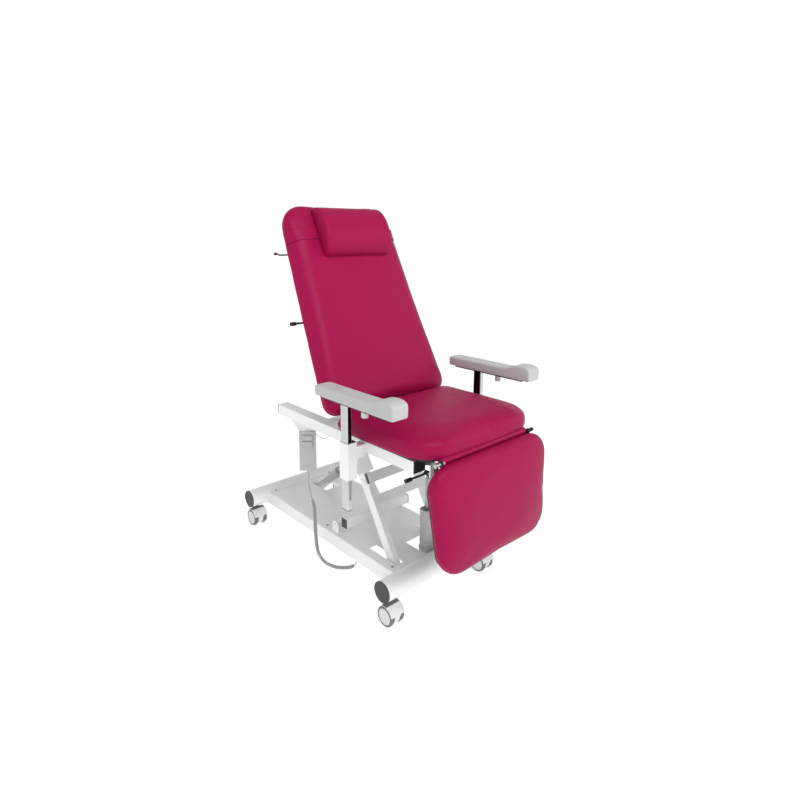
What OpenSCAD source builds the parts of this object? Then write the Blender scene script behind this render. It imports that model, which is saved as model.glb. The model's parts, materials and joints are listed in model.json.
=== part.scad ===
// Height-adjustable rest armchair: padded seat, backrest and legrest on a
// wheeled base with a parallelogram lift. X runs across, -Y is the front, Z is up.

/* [Base] */
// Length of each round cross tube
cross_tube_l = 576; // [540:1:620]
// Outer diameter of the cross tubes
cross_tube_d = 80; // [76:1:84]
// Distance between the two cross tube axes
wheelbase = 960; // [930:1:1020]
// Distance of the front cross tube's axis in front of the origin
front_reach = 351; // [340:0.5:360]
// Distance across the outer faces of the side rails
base_w = 390; // [384:1:420]
// Height of the side rails
side_rail_h = 56; // [50:1:57]
// Width of the side rails
side_rail_w = 30; // [26:1:34]
// Thickness of the cover sheet
cover_t = 2; // [1.5:0.5:3]
// Wall of the steel tubes
tube_wall = 2.5; // [2:0.5:4]

/* [Casters] */
// Diameter of the caster wheels
wheel_d = 75; // [68:1:75]
// Width of one wheel
wheel_w = 20; // [16:1:21]
// Distance between the middles of the two wheels of a caster
wheel_pair = 46; // [44:1:50]
// Height from the floor to the underside of the cross tubes
caster_h = 87; // [87:1:96]
// Distance of the wheel axle from the swivel axis
caster_trail = 15; // [12:1:18]
// Distance of a swivel axis from the middle of the chair
caster_x = 256; // [245:1:258]

/* [Lift] */
// Distance between the two pivots of a link
link_l = 352; // [345:1:360]
// Lean of the links from upright at the top of the lift, in degrees
link_lean = 30.6; // [30:0.1:31.5]
// Depth of the front link tubes
link_depth = 40; // [36:1:42]
// Width of the front link tubes
link_w = 25; // [22:1:26]
// Gap between a front link and the side rail beside it
link_side_gap = 18; // [17:1:20]
// Diameter of the pivot bolts
pivot_d = 12; // [10:1:14]
// Outer diameter of the lift motor's tube
motor_d = 40; // [36:1:42]
// Diameter of the lift motor's rod
motor_rod_d = 27; // [24:1:30]

/* [Seat frame] */
// Height of the seat rails' top face above the floor
rail_top = 664; // [660:1:670]
// Height of a seat rail
rail_h = 40; // [36:1:44]
// Width of a seat rail
rail_w = 50; // [44:1:52]
// Distance across the outer faces of the seat rails
frame_w = 560; // [556:1:564]
// Length of a seat rail
rail_l = 818; // [800:1:824]

/* [Cushions] */
// Width of the seat cushion
seat_w = 608; // [590:1:612]
// Length of the seat cushion
seat_l = 500; // [484:1:502]
// Thickness of the seat cushion at its sides
seat_t = 78; // [60:1:84]
// Width of the backrest at its foot
back_foot_w = 640; // [610:1:644]
// Width of the backrest at its head
back_head_w = 560; // [540:1:590]
// Length of the backrest cushion
back_l = 870; // [840:1:890]
// Thickness of the backrest cushion at its sides
back_t = 67; // [56:1:70]
// Slope of the backrest from level, in degrees
back_slope = 64.7; // [62:0.1:66]
// Width of the legrest at its top
leg_top_w = 610; // [590:1:620]
// Width of the legrest at its foot
leg_foot_w = 570; // [540:1:590]
// Length of the legrest
leg_l = 361; // [340:1:380]
// Thickness of the legrest cushion at its sides
leg_t = 52; // [44:1:56]
// Lean of the hanging legrest's foot to the front, in degrees
leg_lean = 5.4; // [4:0.1:7]
// Length of the head pillow
pillow_l = 333; // [310:1:350]

/* [Armrests] */
// Distance of a post's axis beyond the seat rail's outer face
post_out = 73; // [68:1:80]
// Width of an arm pad
pad_w = 69; // [64:1:70]
// Length of an arm pad
pad_l = 408; // [390:1:420]
// Height of an arm pad behind its raised end
pad_h = 38; // [34:1:42]
// Height of the underside of the arm pads
pad_z = 822; // [818:1:830]
// Depth of a post's section
post_depth = 38; // [34:1:40]
// Width of a post's section
post_w = 20; // [17:1:22]
// Height of the sleeve that guides a post
sleeve_h = 133; // [120:1:140]

/* [Handset and cord] */
// Width of the handset
handset_w = 66; // [60:1:68]
// Height of the handset
handset_h = 165; // [160:1:168]
// Thickness of the handset
handset_t = 25; // [23:1:28]
// Diameter of the cord
cord_d = 4.4; // [4:0.1:4.6]
// Outer diameter of the cord's curls
curl_d = 15; // [14:0.2:16]
// Number of curls
curls = 74; // [60:1:76]

/* [Hidden] */
$fn = 48;

// Clearances and the overrun of cuts
run_gap = 0.05;
fit_gap = 0.3;
over = 1;
cap_t = 4;
plug_l = 10;
plug_gap = 0.2;

// Base sizes and places, measured from the front cross tube's axis
tube_z = caster_h + cross_tube_d / 2;
tube_r = cross_tube_d / 2;
side_rail_rise = 17;
side_top = tube_z + side_rail_rise;
side_x = base_w / 2;
cover_margin = 3;
cover_gap = 1.4;
cover_start = sqrt(pow(tube_r, 2) - pow(side_rail_rise, 2)) + cover_gap;
stem_d = 11;
stem_in = 26;
socket_d = 22;
bolt_cap_d = 22;
bolt_cap_t = 5;

// Lift places
front_pivot_y = 85;
front_pivot_z = 110;
rear_pivot_y = 411;
rear_pivot_z = 178;
link_dy = link_l * sin(link_lean);
link_dz = link_l * cos(link_lean);
seat_pivot_y = front_pivot_y + link_dy;
seat_pivot_z = front_pivot_z + link_dz;
arm_pivot_y = rear_pivot_y + link_dy;
arm_pivot_z = rear_pivot_z + link_dz;
link_x = side_x - side_rail_w - link_side_gap;
link_past = 28;
boss_d = 26;
crossbar_t = 14;
crossbar_h = 40;
brace_t = 4;
brace_h = 35;
brace_up = 272;
slot_side = 6;
slot_y0 = 66;
slot_y1 = 226;
bar_y = 359.5;
bar_z = 207;
bar_depth = 31;
bar_h = 38;
bar_end_in = 17;
bar_half = side_x - bar_end_in;
crank_t = 10;
crank_in = 39;
crank_x = side_x - crank_in;
crank_r = 16;
bracket_in = 11;
bracket_x = side_x - bracket_in;
bracket_t = 5;
bracket_r = 20;
bracket_foot = 26;
arm_x0 = 0;
arm_w = 40;
arm_depth = 36;
arm_boss_d = 42;
lug_proud = 2;
motor_x = 67;
motor_pivot_y = 905;
motor_pivot_z = 86;
motor_eye_share = 0.716;
motor_len = 258;
motor_bore_from = 70;
motor_head_d = 48;
motor_head_l = 34;
motor_head_from = 222;
motor_lug_t = 8;
motor_tail_d = 30;
motor_tail_w = 18;
rod_in = 46;
eye_d = 40;
eye_w = 16;
eye_slack = 7.4;
neck_l = 34;
motor_slot_x = 45;
motor_slot_y0 = 760;
motor_slot_y1 = 900;

// Control column
column_x0 = -8;
column_w = 74;
column_y0 = 54;
column_depth = 40;
column_shoulder = 320;
column_top = 446;
column_tube_d = 32;
column_foot_h = 17;
column_foot_out = 5;
column_bottom = 112;
column_r = 9;
front_slot_x0 = -14;
slot_bridge = 16;
front_slot_x1 = link_x - link_w - slot_side - slot_bridge;
front_slot_y1 = 162;

// Seat frame places
rail_y0 = -145;
rail_bottom = rail_top - rail_h;
frame_x = frame_w / 2;
rail_in = frame_x - rail_w;
cross_a_y = -120;
cross_a_w = 40;
cross_b_y = 308;
cross_c_y = 392;
cross_b_w = 30;
cross_b_h = 25;
spine_y0 = 250;
spine_y1 = 615;
spine_h = 38;
lug_t = 8;
lug_r = 20;
leg_front = 20;
leg_depth = 60;
leg_riser_w = 38;
leg_riser_top = 26;
leg_box_top = 541;
leg_box_bottom = 466;
leg_inner_top = 145;
cheek_t = 8;
cheek_gap = 0.5;
cheek_r = 18;
cheek_low_share = 0.7;
cheek_back = 20;
cheek_up = 26;

// Armrest places
arm_y = 110;
post_x = frame_x + post_out;
pad_in = 5;
post_bottom = 428;
post_r = 3;
sleeve_z0 = 543;
sleeve_wall = 4;
sleeve_in_x = 16;
mount_z0 = 610;
mount_z1 = 658;
plate_t = 6;
plate_inset = 10;
pad_front = -161;
pad_hump_h = 20;
pad_hump_l = 74;
pad_hump_r = 17;
pad_hump_run = 30;
pad_r = 16;
pad_edge = 7;
pad_pin_d = 12;
pad_pin_l = 14;
post_slot_z = 470;
post_slot_h = 60;
post_slot_w = 8;
post_slot_deep = 5;
knob_d = 24;
knob_h = 25;
knob_y = 10;
knob_stem_d = 8;
knob_stem_l = 12;

// Seat cushion places
seat_y0 = -227;
board_t = 6;
seat_front_r = 124;
seat_rear_r = 30;
press_gap = 1.6;
rear_low_in = [34, 28, 13, 5];
rear_top_in = [1, 7, 21, 70, 133];
seat_crown = 12;
seat_soft = 34;
seat_tuck = 34;
seat_board_in = 34;

// Legrest places, v runs down the hanging legrest and w to its front
leg_axis_y = -222;
leg_axis_z = 668;
leg_roll_d = 26.4;
leg_roll_in = 15;
leg_roll_up = 5.5;
hinge_t = 6;
hinge_pin_d = 8;
hinge_r = 9;
hinge_end = 262;
hinge_bush_d = 14;
leg_rear_w = -17;
leg_board_t = 8;
leg_start = 12;
leg_r = 78;
leg_crown = 7;
leg_arm_gap = 2;
leg_arm_l = 84;
leg_arm_t = 12;

// Backrest places, v runs up the back and w to its front
back_y = 304;
back_z = 688;
back_start = 0;
back_board_t = 8;
back_board_in = 34;
leg_board_in = 18;
back_foot_r = 74;
back_head_r = 104;
back_crown = 8;
back_soft = 34;
back_tuck = 26;
back_axis_y = 290;
back_axis_z = 690;
back_tube = 20;
back_tube_x = 200;
back_tube_top = 800;
back_cross_v1 = 150;
back_cross_v2 = 500;
back_cross_v3 = 770;
ear_r = 15;
pivot_plate_t = 8;
pivot_plate_top = 706;
pivot_plate_w = 40;
lever_v1 = 680;
lever_v2 = 393;
lever_w = -10.4;
lever_rod_d = 8;
lever_hub_x = 226;
lever_hub_d = 18;
lever_hub_h = 10;
lever_pin_d = 8;
lever_plate_t = 4;
lever_reach1 = 292;
lever_ball_d = 24;
lever_reach2 = 306;
lever_grip_l = 22;
lever_grip_d = 15;
lever_strip_l = 64;
lever_strip_w = 5;
lever_plate_half = 10;

// Head pillow and strap
pillow_v0 = 618;
pillow_v = 232;
pillow_t = 74;
pillow_dome = 9;
strap_v = 701;
strap_w = 48;
strap_t = 2;

// Under-seat lever
seat_lever_x = 128;
seat_lever_y = -60;
seat_lever_z = 554;
seat_grip_x0 = 206;
seat_grip_x1 = 233;
seat_grip_d = 15;
seat_lever_plate = 6;

// Handset, its holder and strain relief
handset_x = -272;
handset_y = 470;
handset_z = 435;
handset_turn = 40;
handset_r = 10;
relief_l = 40;
relief_d = 9;
key_w = 42;
key_h = 30;
key_t = 3;
key_travel = 1.5;
key_gap = 0.4;
key_step = 38;
key_top = 150;
holder_t = 2;
holder_w = 30;

// Cord route, as chosen points
lead_route = [[-272, 470, 395], [-272, 469, 380], [-272, 465, 365], [-272, 460, 350], [-272, 456, 338]];
gland_x = -side_x + side_rail_w / 2;
gland_y = 274;
gland_d = 12;
gland_h = 8;
gland_bend_r = 36;
gland_from_x_share = 0.62;
coil_route = [
  [-272, 456, 338], [-272, 448, 312], [-271, 434, 275], [-270, 433, 225], [-268, 432, 155],
  [-263, 430, 95], [-257, 420, 62], [-246, 397, 41], [-232, 364, 33], [-216, 333, 35], [-200, 305, 42],
  for (a = [60, 30, 0]) [gland_x, gland_y, side_top - side_rail_h - gland_h]
    - gland_bend_r * [gland_from_x_share * (1 - cos(a)), -(1 - cos(a)), sin(a)]
];

// Colours
c_white = [0.92, 0.92, 0.92];
c_vinyl = [0.60, 0.08, 0.29];
c_black = [0.08, 0.08, 0.08];
c_dark = [0.27, 0.27, 0.27];
c_grey = [0.69, 0.69, 0.68];
c_light = [0.82, 0.82, 0.82];
c_steel = [0.72, 0.72, 0.72];

// Placing helpers
module at_front() translate([0, -front_reach, 0]) children();
module pair() {
  children();
  mirror([1, 0, 0]) children();
}
module block(x0, x1, y0, y1, z0, z1) translate([x0, y0, z0]) cube([x1 - x0, y1 - y0, z1 - z0]);
module bar_x(x0, x1, d, y, z) translate([x0, y, z]) rotate([0, 90, 0]) cylinder(d = d, h = x1 - x0);
module bar_z(x, y, z0, z1, d) translate([x, y, z0]) cylinder(d = d, h = z1 - z0);
module hollow_y(x0, x1, y0, y1, z0, z1, wall) difference() {
  block(x0, x1, y0, y1, z0, z1);
  block(x0 + wall, x1 - wall, y0 - over, y1 + over, z0 + wall, z1 - wall);
}
module hollow_x(x0, x1, y0, y1, z0, z1, wall) difference() {
  block(x0, x1, y0, y1, z0, z1);
  block(x0 - over, x1 + over, y0 + wall, y1 - wall, z0 + wall, z1 - wall);
}
module rounded(w, h, r) {
  translate([-w / 2 + r, -h / 2]) square([w - 2 * r, h]);
  translate([-w / 2, -h / 2 + r]) square([w, h - 2 * r]);
  for (sx = [-1, 1], sy = [-1, 1]) translate([sx * (w / 2 - r), sy * (h / 2 - r)]) circle(r = r);
}
// Stands an outline of (y, z) points up, from x0 to x1
module side_plate(x0, x1) translate([x0, 0, 0]) rotate([90, 0, 90]) linear_extrude(x1 - x0) children();
// Puts a child drawn in (x, y along, z across) on the line of a front link or rear arm
module on_link(y, z) translate([0, y, z]) rotate([-link_lean, 0, 0]) children();
// Puts a child drawn in (u, w, v) on the backrest's rear plane, w to the front
module on_back() translate([0, back_y, back_z]) rotate([back_slope - 90, 0, 0]) mirror([0, 1, 0]) children();
// Puts a child drawn in (u, w, v) on the legrest, v down and w to the front
module on_leg() translate([0, leg_axis_y, leg_axis_z]) rotate([-leg_lean, 0, 0])
  mirror([0, 1, 0]) mirror([0, 0, 1]) children();

// Padded panel: outline points of a panel with arc corners, from the middle of its start
function corner(cx, cy, r, a0, a1, n) =
  [for (i = [0:n]) let (a = a0 + (a1 - a0) * i / n) [cx + r * cos(a), cy + r * sin(a)]];
function edge(p, q, n) = [for (i = [1:n - 1]) p + (q - p) * i / n];
function panel(w0, w1, l, r0, r1, n) = let (
  a = corner(w0 / 2 - r0, r0, r0, -90, 0, n),
  b = corner(w1 / 2 - r1, l - r1, r1, 0, 90, n),
  c = corner(-w1 / 2 + r1, l - r1, r1, 90, 180, n),
  d = corner(-w0 / 2 + r0, r0, r0, 180, 270, n)
) concat(a, edge(a[n], b[0], 3), b, edge(b[n], c[0], 4), c, edge(c[n], d[0], 3), d, edge(d[n], a[0], 4));
// Rings of (inset, height): flat underside, drawn-in lower edge, full side, soft upper edge, crown
low_in_shares = [0, 0.12, 0.42, 0.78, 1];
low_up_shares = [0, 0.065, 0.18, 0.31, 0.485];
top_in_shares = [0, 0.06, 0.26, 0.60, 1];
top_up_shares = [0.52, 0.30, 0.12, 0.03, 0];
crown_in_shares = [0.30, 0.62];
crown_up_shares = [0.55, 0.92];
function cushion_rings(w, l, t, soft, tuck, crown) = concat(
  [for (i = [0:4]) [tuck * (1 - low_in_shares[i]), t * low_up_shares[i]]],
  [for (i = [0:4]) [soft * top_in_shares[i], t - soft * top_up_shares[i]]],
  [for (i = [0:1]) [soft + (min(w, l) / 2 - soft) * crown_in_shares[i], t + crown * crown_up_shares[i]]]
);
// Each ring may be drawn in by its own amount at the far end
module cushion(w0, w1, l, r0, r1, t, soft, tuck, crown, n, ends = []) {
  pts = panel(w0, w1, l, r0, r1, n);
  hw = max(w0, w1) / 2;
  hl = l / 2;
  rings = cushion_rings(2 * hw, l, t, soft, tuck, crown);
  m = len(pts);
  k = len(rings);
  body = [for (j = [0:k - 1]) for (p = pts) let (g = rings[j], e = len(ends) > 0 && p[1] > hl ? ends[j] : g[0])
    [p[0] * (hw - g[0]) / hw, hl + (p[1] - hl) * (hl - e) / hl, g[1]]];
  points = concat(body, [[0, hl, 0], [0, hl, t + crown]]);
  side = [for (j = [0:k - 2]) for (i = [0:m - 1]) let (
    a = j * m + i, b = j * m + (i + 1) % m
  ) each [[a, a + m, b], [b, a + m, b + m]]];
  foot = [for (i = [0:m - 1]) [k * m, i, (i + 1) % m]];
  head = [for (i = [0:m - 1]) [k * m + 1, (k - 1) * m + (i + 1) % m, (k - 1) * m + i]];
  polyhedron(points, concat(side, foot, head));
}

// Base
module cross_tube(y) {
  difference() {
    union() {
      difference() {
        bar_x(-cross_tube_l / 2 + cap_t, cross_tube_l / 2 - cap_t, cross_tube_d, y, tube_z);
        bar_x(-cross_tube_l / 2, cross_tube_l / 2, cross_tube_d - 2 * tube_wall, y, tube_z);
      }
      intersection() {
        pair() bar_z(caster_x, y, caster_h, tube_z, socket_d);
        bar_x(-cross_tube_l / 2, cross_tube_l / 2, cross_tube_d - tube_wall, y, tube_z);
      }
    }
    pair() bar_z(caster_x, y, caster_h - over, caster_h + stem_in, stem_d + 2 * run_gap);
  }
}
module base_tube_front() color(c_white) at_front() {
  cross_tube(0);
  difference() {
    block(column_x0 - column_foot_out, column_x0 + column_w + column_foot_out, tube_r / 2,
      column_y0 + column_depth + column_foot_out, column_bottom - shelf_t, column_bottom);
    bar_x(-cross_tube_l / 2, cross_tube_l / 2, cross_tube_d - tube_wall, 0, tube_z);
  }
}
shelf_t = 5;
module base_tube_rear() color(c_white) at_front() {
  cross_tube(wheelbase);
  difference() {
    for (s = [-1, 1]) let (x = motor_x + s * (motor_tail_w / 2 + motor_lug_t / 2 + fit_gap))
      side_plate(x - motor_lug_t / 2, x + motor_lug_t / 2) {
        translate([motor_pivot_y, motor_pivot_z]) circle(d = motor_tail_d);
        polygon([
          [motor_pivot_y, motor_pivot_z + motor_tail_d / 2], [wheelbase - tube_r / 3, tube_z],
          [wheelbase - tube_r / 3, motor_pivot_z], [motor_pivot_y, motor_pivot_z - motor_tail_d / 2]
        ]);
      }
    bar_x(-cross_tube_l / 2, cross_tube_l / 2, cross_tube_d - tube_wall, wheelbase, tube_z);
  }
  bar_x(motor_x - motor_tail_w / 2 - motor_lug_t, motor_x + motor_tail_w / 2 + motor_lug_t,
    pivot_d, motor_pivot_y, motor_pivot_z);
}
module side_rail() {
  difference() {
    hollow_y(side_x - side_rail_w, side_x, 0, wheelbase, side_top - side_rail_h, side_top, tube_wall);
    for (y = [0, wheelbase]) bar_x(0, side_x + over, cross_tube_d + 2 * fit_gap, y, tube_z);
  }
  bar_x(link_x - link_w - over, side_x, pivot_d, front_pivot_y, front_pivot_z);
  bar_x(link_x + fit_gap, side_x - side_rail_w, boss_d, front_pivot_y, front_pivot_z);
  bolt_cap(side_x, front_pivot_y, front_pivot_z);
}
bolt_dome_share = 0.72;
module bolt_cap(x, y, z) translate([x, y, z]) rotate([0, 90, 0]) {
  cylinder(d = bolt_cap_d, h = bolt_cap_t / 2);
  translate([0, 0, bolt_cap_t / 2])
    cylinder(d1 = bolt_cap_d, d2 = bolt_cap_d * bolt_dome_share, h = bolt_cap_t / 2);
}
module base_rail_near() color(c_white) at_front() mirror([1, 0, 0]) {
  side_rail();
  bar_z(-gland_x, gland_y, side_top - side_rail_h - gland_h, side_top - side_rail_h, gland_d);
}
module base_rail_far() color(c_white) at_front() side_rail();
module base_cover() color(c_white) at_front() difference() {
  block(-side_x + cover_margin, side_x - cover_margin, cover_start, wheelbase - cover_start,
    side_top, side_top + cover_t);
  pair() block(link_x - link_w - slot_side, link_x + slot_side, slot_y0, slot_y1,
    side_top - over, side_top + cover_t + over);
  block(motor_x - motor_slot_x, motor_x + motor_slot_x, motor_slot_y0, motor_slot_y1,
    side_top - over, side_top + cover_t + over);
  block(front_slot_x0, front_slot_x1, column_y0 - column_foot_out - fit_gap, front_slot_y1,
    side_top - over, side_top + cover_t + over);
}
module tube_caps() color(c_dark) at_front() for (y = [0, wheelbase]) pair() {
  bar_x(cross_tube_l / 2 - cap_t, cross_tube_l / 2, cross_tube_d, y, tube_z);
  bar_x(cross_tube_l / 2 - cap_t - plug_l, cross_tube_l / 2 - cap_t,
    cross_tube_d - 2 * tube_wall - 2 * plug_gap, y, tube_z);
}
module bar_brackets() color(c_white) at_front() pair() {
  side_plate(bracket_x - bracket_t, bracket_x) {
    translate([rear_pivot_y, rear_pivot_z]) circle(r = bracket_r);
    translate([rear_pivot_y - bracket_r, side_top + cover_t])
      square([2 * bracket_r, rear_pivot_z - side_top - cover_t]);
  }
  block(bracket_x - bracket_foot, bracket_x, rear_pivot_y - bracket_r, rear_pivot_y + bracket_r,
    side_top + cover_t, side_top + cover_t + bracket_t);
  bar_x(crank_x - over, bracket_x, pivot_d, rear_pivot_y, rear_pivot_z);
  bolt_cap(bracket_x, rear_pivot_y, rear_pivot_z);
}
module control_column() color(c_grey) at_front() {
  x = column_x0 + column_w / 2;
  y = column_y0 + column_depth / 2;
  translate([x, y, column_bottom]) linear_extrude(column_shoulder - column_bottom)
    rounded(column_w, column_depth, column_r);
  translate([x, y, side_top + cover_t]) linear_extrude(column_foot_h)
    rounded(column_w + column_foot_out, column_depth + column_foot_out, column_r);
  bar_z(x, y, column_shoulder, column_top, column_tube_d);
}

// Casters: swivel axis at the origin, wheels towards -Y
wheel_gap = 0.6;
hood_gap = 2.5;
hood_t = 3;
axle_d = 10;
core_w = wheel_pair - wheel_w - 2 * wheel_gap;
core_r = wheel_d / 2 - 3;
tread_r = 6;
hub_d = 48;
hub_deep = 3;
collar_d = 34;
collar_h = 5;
pedal_y = 12;
pedal_z = 66;
pedal_hub_d = 12;
pedal_w = 11;
pedal_reach = 38;
pedal_tip_w = 36;
pedal_tip_z = 76;
pedal_tip_t = 5;
pedal_tip_l = 20;
pedal_pin_d = 5;
module at_caster(sx, y) translate([sx * caster_x, y, 0]) children();
module wheel_solid() rotate_extrude() difference() {
  union() {
    translate([0, tread_r]) square([wheel_d / 2, wheel_w - 2 * tread_r]);
    square([wheel_d / 2 - tread_r, wheel_w]);
    for (z = [tread_r, wheel_w - tread_r]) translate([wheel_d / 2 - tread_r, z]) circle(r = tread_r);
  }
  translate([axle_d, wheel_w - hub_deep]) square([hub_d / 2 - axle_d, hub_deep + over]);
  translate([-wheel_d, -over]) square([wheel_d, wheel_w + 2 * over]);
}
module wheels() translate([0, -caster_trail, wheel_d / 2]) {
  pair() translate([wheel_pair / 2 - wheel_w / 2, 0, 0]) rotate([0, 90, 0]) wheel_solid();
  bar_x(-wheel_pair / 2, wheel_pair / 2, axle_d, 0, 0);
}
module caster(braked) {
  hood_r = wheel_d / 2 + hood_gap;
  hood_half = wheel_pair / 2 + wheel_w / 2;
  difference() {
    union() {
      difference() {
        bar_x(-core_w / 2, core_w / 2, 2 * core_r, -caster_trail, wheel_d / 2);
        bar_x(-core_w, core_w, axle_d + 2 * run_gap, -caster_trail, wheel_d / 2);
      }
      intersection() {
        difference() {
          bar_x(-hood_half, hood_half, 2 * (hood_r + hood_t), -caster_trail, wheel_d / 2);
          bar_x(-hood_half - over, hood_half + over, 2 * hood_r, -caster_trail, wheel_d / 2);
        }
        block(-hood_half, hood_half, -caster_trail - hood_r - hood_t, pedal_y - pedal_hub_d,
          wheel_d / 2 + hood_r / 3, caster_h);
      }
      intersection() {
        bar_x(-core_w / 2, core_w / 2, 2 * (hood_r + over), -caster_trail, wheel_d / 2);
        block(-core_w / 2, core_w / 2, -wheel_d, wheel_d, wheel_d / 2 + tread_r, caster_h);
      }
      bar_z(0, 0, wheel_d / 2 + tread_r, caster_h - collar_h, collar_d);
    }
    pair() bar_x(core_w / 2, wheel_d, 2 * hood_r, -caster_trail, wheel_d / 2);
    if (braked) {
      block(-pedal_w / 2 - fit_gap, pedal_w / 2 + fit_gap, pedal_y - pedal_hub_d / 2 - over, wheel_d,
        pedal_z - pedal_hub_d, caster_h);
    }
  }
  if (braked) difference() {
    bar_x(-core_w / 2, core_w / 2, pedal_pin_d, pedal_y, pedal_z);
  }
  bar_z(0, 0, caster_h - collar_h - over, caster_h - fit_gap, socket_d);
  bar_z(0, 0, caster_h - collar_h, caster_h + stem_in - fit_gap, stem_d);
}
module pedal() difference() {
  union() {
    bar_x(-pedal_w / 2, pedal_w / 2, pedal_hub_d, pedal_y, pedal_z);
    side_plate(-pedal_w / 2, pedal_w / 2) polygon([
      [pedal_y, pedal_z + pedal_hub_d / 2], [pedal_y, pedal_z],
      [pedal_reach - pedal_tip_l / 2, pedal_tip_z], [pedal_reach, pedal_tip_z],
      [pedal_reach, pedal_tip_z + pedal_tip_t], [pedal_reach - pedal_tip_l, pedal_tip_z + pedal_tip_t]
    ]);
    translate([0, pedal_reach - pedal_tip_l / 2, pedal_tip_z])
      linear_extrude(pedal_tip_t) rounded(pedal_tip_w, pedal_tip_l, pedal_hub_d / 3);
  }
  bar_x(-pedal_w, pedal_w, pedal_pin_d + 2 * run_gap, pedal_y, pedal_z);
}
module caster_front_near() color(c_white) at_front() at_caster(-1, 0) caster(true);
module caster_front_far() color(c_white) at_front() at_caster(1, 0) caster(true);
module caster_rear_near() color(c_white) at_front() at_caster(-1, wheelbase) caster(false);
module caster_rear_far() color(c_white) at_front() at_caster(1, wheelbase) caster(false);
module wheels_front_near() color(c_dark) at_front() at_caster(-1, 0) wheels();
module wheels_front_far() color(c_dark) at_front() at_caster(1, 0) wheels();
module wheels_rear_near() color(c_dark) at_front() at_caster(-1, wheelbase) wheels();
module wheels_rear_far() color(c_dark) at_front() at_caster(1, wheelbase) wheels();
module pedal_near() color(c_dark) at_front() at_caster(-1, 0) pedal();
module pedal_far() color(c_dark) at_front() at_caster(1, 0) pedal();

// Lift
module front_link() difference() {
  on_link(front_pivot_y, front_pivot_z) {
    difference() {
      union() {
        difference() {
          block(link_x - link_w, link_x, -link_depth / 2, link_depth / 2, 0, link_l + link_past);
          block(link_x - link_w + tube_wall, link_x - tube_wall, -link_depth / 2 + tube_wall,
            link_depth / 2 - tube_wall, -over, link_l + link_past + over);
        }
        bar_x(link_x - link_w, link_x, link_depth, 0, 0);
        bar_x(link_x - link_w, link_x, boss_d, 0, link_l);
      }
      for (z = [0, link_l]) bar_x(0, link_x + over, pivot_d + 2 * run_gap, 0, z);
    }
    block(link_x - link_w, link_x, -link_depth / 2, link_depth / 2,
      link_l + link_past, link_l + link_past + cap_t / 2);
  }
}
module front_link_near() color(c_white) at_front() mirror([1, 0, 0]) front_link();
module front_link_far() color(c_white) at_front() front_link();
module link_crossbars() color(c_white) at_front() on_link(front_pivot_y, front_pivot_z) {
  top = link_l + link_past;
  translate([0, -link_depth / 2 - crossbar_t, 0])
    hollow_x(-link_x, link_x, 0, crossbar_t, top - crossbar_h, top, tube_wall);
  pair() block(link_x, link_x + cap_t / 2, -link_depth / 2 - crossbar_t, -link_depth / 2,
    top - crossbar_h, top);
  block(-link_x + link_w, link_x - link_w, -link_depth / 2, -link_depth / 2 + brace_t,
    brace_up - brace_h / 2, brace_up + brace_h / 2);
}
module torque_bar() color(c_white) at_front() {
  hollow_x(-bar_half + cap_t, bar_half - cap_t, bar_y - bar_depth / 2, bar_y + bar_depth / 2,
    bar_z - bar_h / 2, bar_z + bar_h / 2, tube_wall);
  pair() block(bar_half - cap_t, bar_half, bar_y - bar_depth / 2, bar_y + bar_depth / 2,
    bar_z - bar_h / 2, bar_z + bar_h / 2);
}
motor_eye_y = rear_pivot_y + link_dy * motor_eye_share;
motor_eye_z = rear_pivot_z + link_dz * motor_eye_share;
arm_lean = atan2(arm_pivot_y - bar_y, arm_pivot_z - bar_z);
arm_len = norm([arm_pivot_y - bar_y, arm_pivot_z - bar_z]);
module rear_arm() color(c_white) at_front() {
  arm_across = [cos(arm_lean), -sin(arm_lean)] * arm_depth / 2;
  difference() {
    union() {
      difference() {
        side_plate(arm_x0, arm_x0 + arm_w) {
          polygon([
            [bar_y, bar_z] - arm_across, [arm_pivot_y, arm_pivot_z] - arm_across,
            [arm_pivot_y, arm_pivot_z] + arm_across, [bar_y, bar_z] + arm_across
          ]);
          translate([arm_pivot_y, arm_pivot_z]) circle(d = arm_boss_d);
        }
        block(arm_x0 - over, arm_x0 + arm_w + over, bar_y - bar_depth, bar_y + bar_depth / 2,
          bar_z - bar_h, bar_z + bar_h);
      }
      side_plate(arm_x0 + arm_w - cheek_t, arm_x0 + arm_w + lug_proud)
        translate([motor_eye_y, motor_eye_z]) circle(d = eye_d);
    }
    bar_x(arm_x0 - over, arm_x0 + arm_w + over, pivot_d + 4 * fit_gap, arm_pivot_y, arm_pivot_z);
  }
  bar_x(arm_x0 + arm_w / 2, motor_x + eye_w / 2 + cheek_t / 2, pivot_d, motor_eye_y, motor_eye_z);
  bar_x(motor_x + eye_w / 2 + 2 * fit_gap, motor_x + eye_w / 2 + cheek_t, eye_d, motor_eye_y, motor_eye_z);
  pair() difference() {
    side_plate(crank_x, crank_x + crank_t) {
      translate([rear_pivot_y, rear_pivot_z]) circle(r = crank_r);
      polygon([
        [bar_y + bar_depth / 2, bar_z + bar_h / 2], [bar_y + bar_depth / 2, bar_z - bar_h / 2],
        [rear_pivot_y - crank_r / 2, rear_pivot_z - crank_r * crank_low_share],
        [rear_pivot_y + crank_r / 2, rear_pivot_z + crank_r * crank_low_share]
      ]);
    }
    bar_x(0, bracket_x, pivot_d + 2 * run_gap, rear_pivot_y, rear_pivot_z);
  }
}
crank_low_share = 0.86;
module on_motor() translate([motor_x, motor_pivot_y, motor_pivot_z]) rotate([90 - motor_slope, 0, 0]) children();
motor_full = norm([motor_pivot_y - motor_eye_y, motor_eye_z - motor_pivot_z]);
motor_slope = atan2(motor_eye_z - motor_pivot_z, motor_pivot_y - motor_eye_y);
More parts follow.
